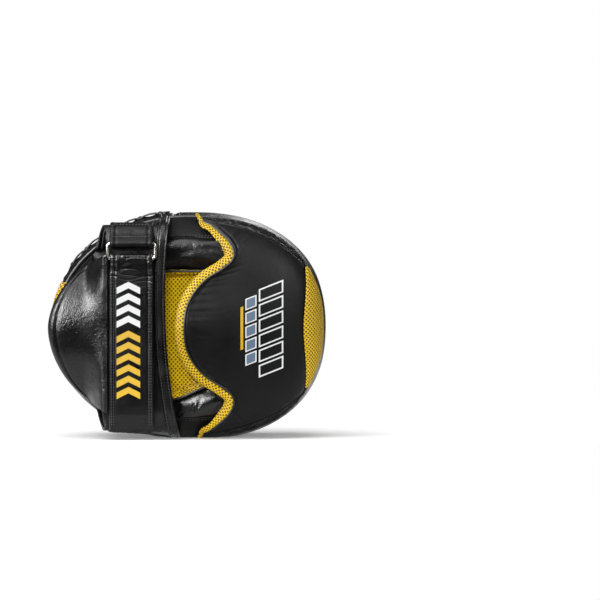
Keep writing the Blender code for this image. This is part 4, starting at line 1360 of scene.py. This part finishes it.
def strap(name, path, steps, width, across, thick, material, wrinkle, seed):
    """A piece of strap with a sewn line along each side, and creases near the ring."""
    front, back = ribbon_grid(path, steps, width, across, thick)
    away = unit(front - back)
    from_side = width / 2 - np.abs(front[..., 0] - STRAP_X)
    line = groove(from_side - 5.2, 0.8, 0.8) + 0.45 * bell(from_side - 2.8, 1.5)
    near_ring = np.exp(-np.maximum(0, 158 - front[..., 2]) / 16)
    creases = near_ring * ridges(front, 9, seed + 1, (0.5, 1, 1.6))
    move = line + wrinkle * (0.6 * field(front, 20, seed) + 0.98 * creases)
    front = front + away * move[..., None]
    made = shell(name, front, material, STRAP_CENTRE, 1.0, None, back=back)
    return made, front, away


def eye(z, start, end, steps):
    """The strap's path round a bar of the ring, as (depth, z) points."""
    turns = [cos_sin(a) for a in spread(start, end, steps)]
    return [(BAR_DEPTH + EYE_MID * s, z + EYE_MID * c) for c, s in turns]


tab_path = [(on_arch(z, 1.4), z) for z in (202.5, 199, 196, 192.5)]
tab_path += eye(UPPER_BAR_Z, 282, 78, 15)
tab_path += [(on_arch(z, 4.2), z) for z in (192.5, 196, 199, 202.5)]
tab_obj, tab_front, _ = strap(
    "ring_tab_leather", tab_path[::-1], n_of(70), FOLD_WIDTH + 1.2, n_of(40), 2.1, MATTE, 0.25, 62
)
ride(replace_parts(tab_obj, "ring_tab") or tab_obj)

BOX_HALF, BOX_LOW, BOX_HIGH = 17.4, 190, 201.4
box = []
tab_points = tab_front.reshape(-1, 3)
for x0, z0, x1, z1 in (
    (-BOX_HALF, BOX_LOW, -BOX_HALF, BOX_HIGH), (BOX_HALF, BOX_LOW, BOX_HALF, BOX_HIGH),
    (-BOX_HALF, BOX_HIGH, BOX_HALF, BOX_HIGH), (-BOX_HALF, BOX_LOW, BOX_HALF, BOX_LOW),
):
    line = []
    for t in spread(0, 1, 20):
        x, z = STRAP_X + x0 + (x1 - x0) * t, z0 + (z1 - z0) * t
        near = tab_points[np.hypot(tab_points[:, 0] - x, tab_points[:, 2] - z) < 2.0]
        line.append((x, near[:, 1].max() + 0.1, z))
    box.append((line, [(0, 0.8, 0.6)] * 20))
ride(stitches("ring_tab_stitches", box, DARK_THREAD, 2.8, 2.0, 0.36))

anchor_path = [(on_arch(z, 1.6), z) for z in (PEEL_Z + 2.6, 150, 130, 90, 45, 30, 23, 18, 14)]
anchor_obj, _, _ = strap(
    "strap_anchor_leather", anchor_path, n_of(80), STRAP_WIDTH - 1.0, n_of(24), 2.4, GLOSS, 0.1, 64
)
ride(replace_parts(anchor_obj, "strap_anchor_layer") or anchor_obj)

fold_path = [(BAR_DEPTH - EYE_MID, PEEL_Z + 3.0)] + eye(LOWER_BAR_Z, 270, 450, 15)
fold_path += [(STRAP_MID + 1.0, 164.5), (STRAP_MID + 0.3, 160), (STRAP_MID, 154), (STRAP_MID, 140)]
fold_path += [(STRAP_MID, JOIN_Z)]
STRAP_THICK = 3.4
upper_obj, upper_front, upper_n = strap(
    "strap_upper_leather", fold_path, n_of(150), STRAP_WIDTH, n_of(60), STRAP_THICK, GLOSS, 0.45, 66
)
# The strap narrows where it turns round the bar.
for v in upper_obj.data.vertices:
    narrow = smooth(v.co.z * 1000, 150, 166) * (1 - FOLD_WIDTH / STRAP_WIDTH)
    x = v.co.x * 1000 - STRAP_X
    v.co.x = (STRAP_X + x * (1 - narrow)) / 1000
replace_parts(upper_obj, "strap_ring_fold", "strap_upper")
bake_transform(upper_obj)

tip_depth = STRAP_MID - (HAND_FLOOR + CUFF_HEIGHT)
tip_path = [(STRAP_MID, JOIN_Z), (STRAP_MID, 110)]
tip_path += [(on_arch(z, tip_depth), z) for z in (98, 90, 70, 45, 32, 24, 18, 13.5, STRAP_END_Z)]
tip_obj, tip_front, tip_n = strap(
    "strap_tip_leather", tip_path, n_of(190), STRAP_WIDTH, n_of(60), STRAP_THICK, GLOSS, 0.2, 66
)
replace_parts(tip_obj, "strap_tip")
TIP_BLEND = {
    "start": (STRAP_X / 1000, 0, (TIP_Z + 16) / 1000),
    "end": (STRAP_X / 1000, 0, (TIP_Z - 16) / 1000),
}
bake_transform(tip_obj)
hook, hook_back = ribbon_grid(
    [(on_arch(z, 3.75), z) for z in (76, 60, 45, 32, 26)], n_of(40), STRAP_WIDTH - 7, n_of(24), 1.2
)
hook_obj = shell(
    "hook_patch_pile", hook, FUZZ, STRAP_CENTRE, 1.0, None, back=hook_back
)
ride(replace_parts(hook_obj, "hook_fastener_patch") or hook_obj, "strap_tip")


def strap_lines(front, away, high, low):
    """The four stitched lines down the strap's outer face, between two z."""
    lines = []
    for x_off in (-16.6, -18.9, 16.6, 18.9):
        col = int(np.abs(front[len(front) // 2, :, 0] - STRAP_X - x_off).argmin())
        points, ups = front[:, col], away[:, col]
        shown = (points[:, 2] < high) & (points[:, 2] > low) & (points[:, 1] > 140)
        lines.append((points[shown] + ups[shown] * 0.05, ups[shown]))
    return lines


# The first rows of the upper piece are the end that is hidden behind the fold.
shown_from = len(upper_front) // 5 + 1
upper_lines = strap_lines(upper_front[shown_from:], upper_n[shown_from:], 160, JOIN_Z)
made = stitches("strap_upper_stitches", upper_lines, DARK_THREAD, 2.7, 2.0, 0.36)
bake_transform(made)
tip_lines = strap_lines(tip_front, tip_n, JOIN_Z, STRAP_END_Z + 3)
made = stitches("strap_tip_stitches", tip_lines, DARK_THREAD, 2.7, 2.0, 0.36)
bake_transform(made)

# Prints ---------------------------------------------------------------------------------


def strap_face(_, z):
    return (STRAP_MID if z > 98 else on_arch(z, tip_depth)) + STRAP_THICK / 2 + 0.35


def print_on(name, outlines, surface, material, body_or_blend, lift=0.0):
    """Flat shapes laid on a surface. Each outline is a strip of (left, right) pairs."""
    points, faces = [], []
    for strip in outlines:
        start, across = len(points), 5
        for left, right in strip:
            for t in spread(0, 1, across):
                x, z = left[0] + (right[0] - left[0]) * t, left[1] + (right[1] - left[1]) * t
                points.append((x, surface(x, z) + lift, z))
        faces += [tuple(f) for f in cells(len(strip), across, start)]
    obj = make(name, points, faces, material)
    if isinstance(body_or_blend, str):
        ride(obj, body_or_blend)
    else:
        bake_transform(obj)
    return obj


def chevron(x0, x1, z, tall, rise, steps=12):
    """An arrow band across the strap, pointing toward the ring."""
    strip = []
    for t in spread(0, 1, steps * 2 + 1):
        x = x0 + (x1 - x0) * t
        peak = rise * (1 - abs(2 * t - 1))
        strip.append(((x, z + peak), (x, z + peak + tall)))
    return strip


PRINT_LOW, PRINT_HIGH = -65.5, -43.5
AT_TIP_BEND = (("strap_upper", "strap_tip"), TIP_BLEND)
for name, levels, paint, moves_with in (
    ("white_tip", [105], WHITE_PRINT, AT_TIP_BEND),
    ("white_upper", [115.5, 126.0, 136.5], WHITE_PRINT, "strap_upper"),
    ("yellow", [38.5, 49.0, 59.5], YELLOW_PRINT, "strap_tip"),
    ("middle", [70.0, 80.5, 91.0], YELLOW_PRINT, AT_TIP_BEND),
):
    bands = [chevron(PRINT_LOW, PRINT_HIGH, z, 6.0, 5.5) for z in levels]
    print_on("strap_print_" + name, bands, strap_face, paint, moves_with)


def hood_face(x, z):
    return hood_depth(x, z - CENTRE_Z, 60) + 0.75


def lozenge(x0, x1, z0, z1, slant, inset):
    """A slanted bar across the hood, drawn inset from its outline."""
    strip = []
    for t in spread(0, 1, 8):
        x = x0 + inset + (x1 - x0 - 2 * inset) * t
        shift = slant * (x - x0) / (x1 - x0)
        strip.append(((x, z0 + inset + shift), (x, z1 - inset + shift)))
    return strip


emblem_white, emblem_dark, emblem_blue = [], [], []
for x0, x1, first, pitch, tall, count, slant, rim, inside in (
    (67.0, 90.0, 58.0, 14.2, 11.8, 6, 9.0, 1.5, emblem_dark),
    (54.5, 65.0, 69.0, 13.0, 10.8, 5, 4.1, 1.2, emblem_blue),
):
    for k in range(count):
        z0 = first + k * pitch
        emblem_white.append(lozenge(x0, x1, z0, z0 + tall, slant, 0.0))
        inside.append(lozenge(x0, x1, z0, z0 + tall, slant, rim))
emblem_yellow = [lozenge(50.0, 52.6, 84.0, 124.0, 1.0, 0.0)]
print_on("emblem_outline", emblem_white, hood_face, WHITE_PRINT, "mitt")
print_on("emblem_inside", emblem_dark, hood_face, MATTE, "mitt", 0.25)
print_on("emblem_blocks", emblem_blue, hood_face, BLUE_PRINT, "mitt", 0.25)
print_on("emblem_bar", emblem_yellow, hood_face, YELLOW_PRINT, "mitt")

# Inner layers ---------------------------------------------------------------------------

UNDER_COVER = 2.2


def layer(name, node, stops, material):
    """A closed slab filling the drum, from (depth, inset) rings."""
    rings = []
    for depth, inset in stops:
        ring_points = [outline(a, inset) for a in spread(0, 360, n_of(121))[:-1]]
        rings.append([(x, depth, max(z, UNDER_COVER)) for x, z in ring_points])
    made = stack(name, rings, material)
    ride(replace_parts(made, node) or made)
    return made


foam_front = [(3.6, 34.0), (4.4, 29.0), (8.0, 19.0), (14.0, 10.5), (22.0, 6.4), (30.0, 5.0)]
layer("impact_foam", "impact_foam_layer", foam_front + [(47.8, 3.4)], FOAM)
core = [(48.3, 3.4), (64.0, 3.2), (80.0, 3.8), (95.4, 6.0)]
layer("core_foam", "core_foam_block", core, FOAM)
layer("stiffener_board", "back_stiffener_board", [(96.0, 6.6), (98.6, 7.2)], BOARD)
layer("back_cover", "back_cover_panel", [(99.0, 7.0), (100.2, 6.4), (101.7, 7.4)], MATTE)

# Stage ----------------------------------------------------------------------------------

# The floor starts close in front of the mitt, so that little of it shows in the glossy leather.
FLOOR_HALF, FLOOR_NEAR, FLOOR_FAR = 1.1, -0.14, 1.1
floor_corners = [
    (-FLOOR_HALF, FLOOR_NEAR, 0), (FLOOR_HALF, FLOOR_NEAR, 0),
    (FLOOR_HALF, FLOOR_FAR, 0), (-FLOOR_HALF, FLOOR_FAR, 0),
]
floor_mesh = bpy.data.meshes.new("floor")
floor_mesh.from_pydata(floor_corners, [], [(0, 1, 2, 3)])
floor = put("floor", floor_mesh)
floor_paper = plain("floor_paper", (0.93, 0.93, 0.93), 0.9)
paper = floor_paper.node_tree.nodes["Principled BSDF"].inputs
paper["Emission Color"].default_value = (1, 1, 1, 1)
paper["Emission Strength"].default_value = 0.22
floor_mesh.materials.append(floor_paper)

world = bpy.data.worlds.new("studio")
world.use_nodes = True
sky = world.node_tree
seen = sky.nodes.new("ShaderNodeLightPath")
tone = sky.nodes.new("ShaderNodeMapRange")
tone.inputs["To Min"].default_value = 0.07
tone.inputs["To Max"].default_value = 1.0
sky.links.new(seen.outputs["Is Camera Ray"], tone.inputs["Value"])
sky.nodes["Background"].inputs[0].default_value = (1, 1, 1, 1)
sky.links.new(tone.outputs["Result"], sky.nodes["Background"].inputs[1])
bpy.context.scene.world = world


def area_light(name, where, target, size, power):
    """A lamp that shows in gloss only, which keeps black leather black."""
    data = bpy.data.lights.new(name, "AREA")
    data.energy, data.shape = power, "RECTANGLE"
    data.size, data.size_y = size
    lamp = put(name, data)
    lamp.location = where
    lamp.rotation_euler = (Vector(target) - Vector(where)).to_track_quat("-Z", "Y").to_euler()
    lamp.visible_diffuse = False
    return lamp


def sun(name, direction, strength, angle):
    data = bpy.data.lights.new(name, "SUN")
    data.energy, data.angle = strength, math.radians(angle)
    put(name, data).rotation_euler = (-Vector(direction)).to_track_quat("-Z", "Y").to_euler()


sun("overhead", (-0.25, -0.30, 1.0), 2.7, 60)
area_light("left", (-1.0, -1.1, 1.0), (-0.08, 0, 0.12), (1.2, 1.1), 140)
area_light("right", (1.3, -0.8, 1.0), (0, 0, 0.1), (0.4, 0.8), 22)
fill = area_light("front", (-0.1, -2.2, 0.4), (0, 0, 0.1), (0.8, 0.6), 30)
fill.visible_diffuse, fill.visible_glossy = True, False
area_light("behind", (0.5, 1.5, 0.9), (0, 0, 0.1), (0.8, 0.5), 5)

# The camera looks at the mitt's hand side from one degree above, with the mitt left of centre.
DISTANCE, FRAME_WIDTH, VIEW_UP = 5.0, 0.5632, math.radians(1.0)
camera_data = bpy.data.cameras.new("camera")
camera_data.sensor_width = 36
camera_data.lens = 36 * DISTANCE / FRAME_WIDTH
camera = put("camera", camera_data)
target = Vector((0.1056, -0.045, 0.1305))
camera.location = target + DISTANCE * Vector((0, -math.cos(VIEW_UP), math.sin(VIEW_UP)))
camera.rotation_euler = (target - camera.location).to_track_quat("-Z", "Y").to_euler()
bpy.context.scene.camera = camera
bpy.context.scene.view_settings.view_transform = "Standard"
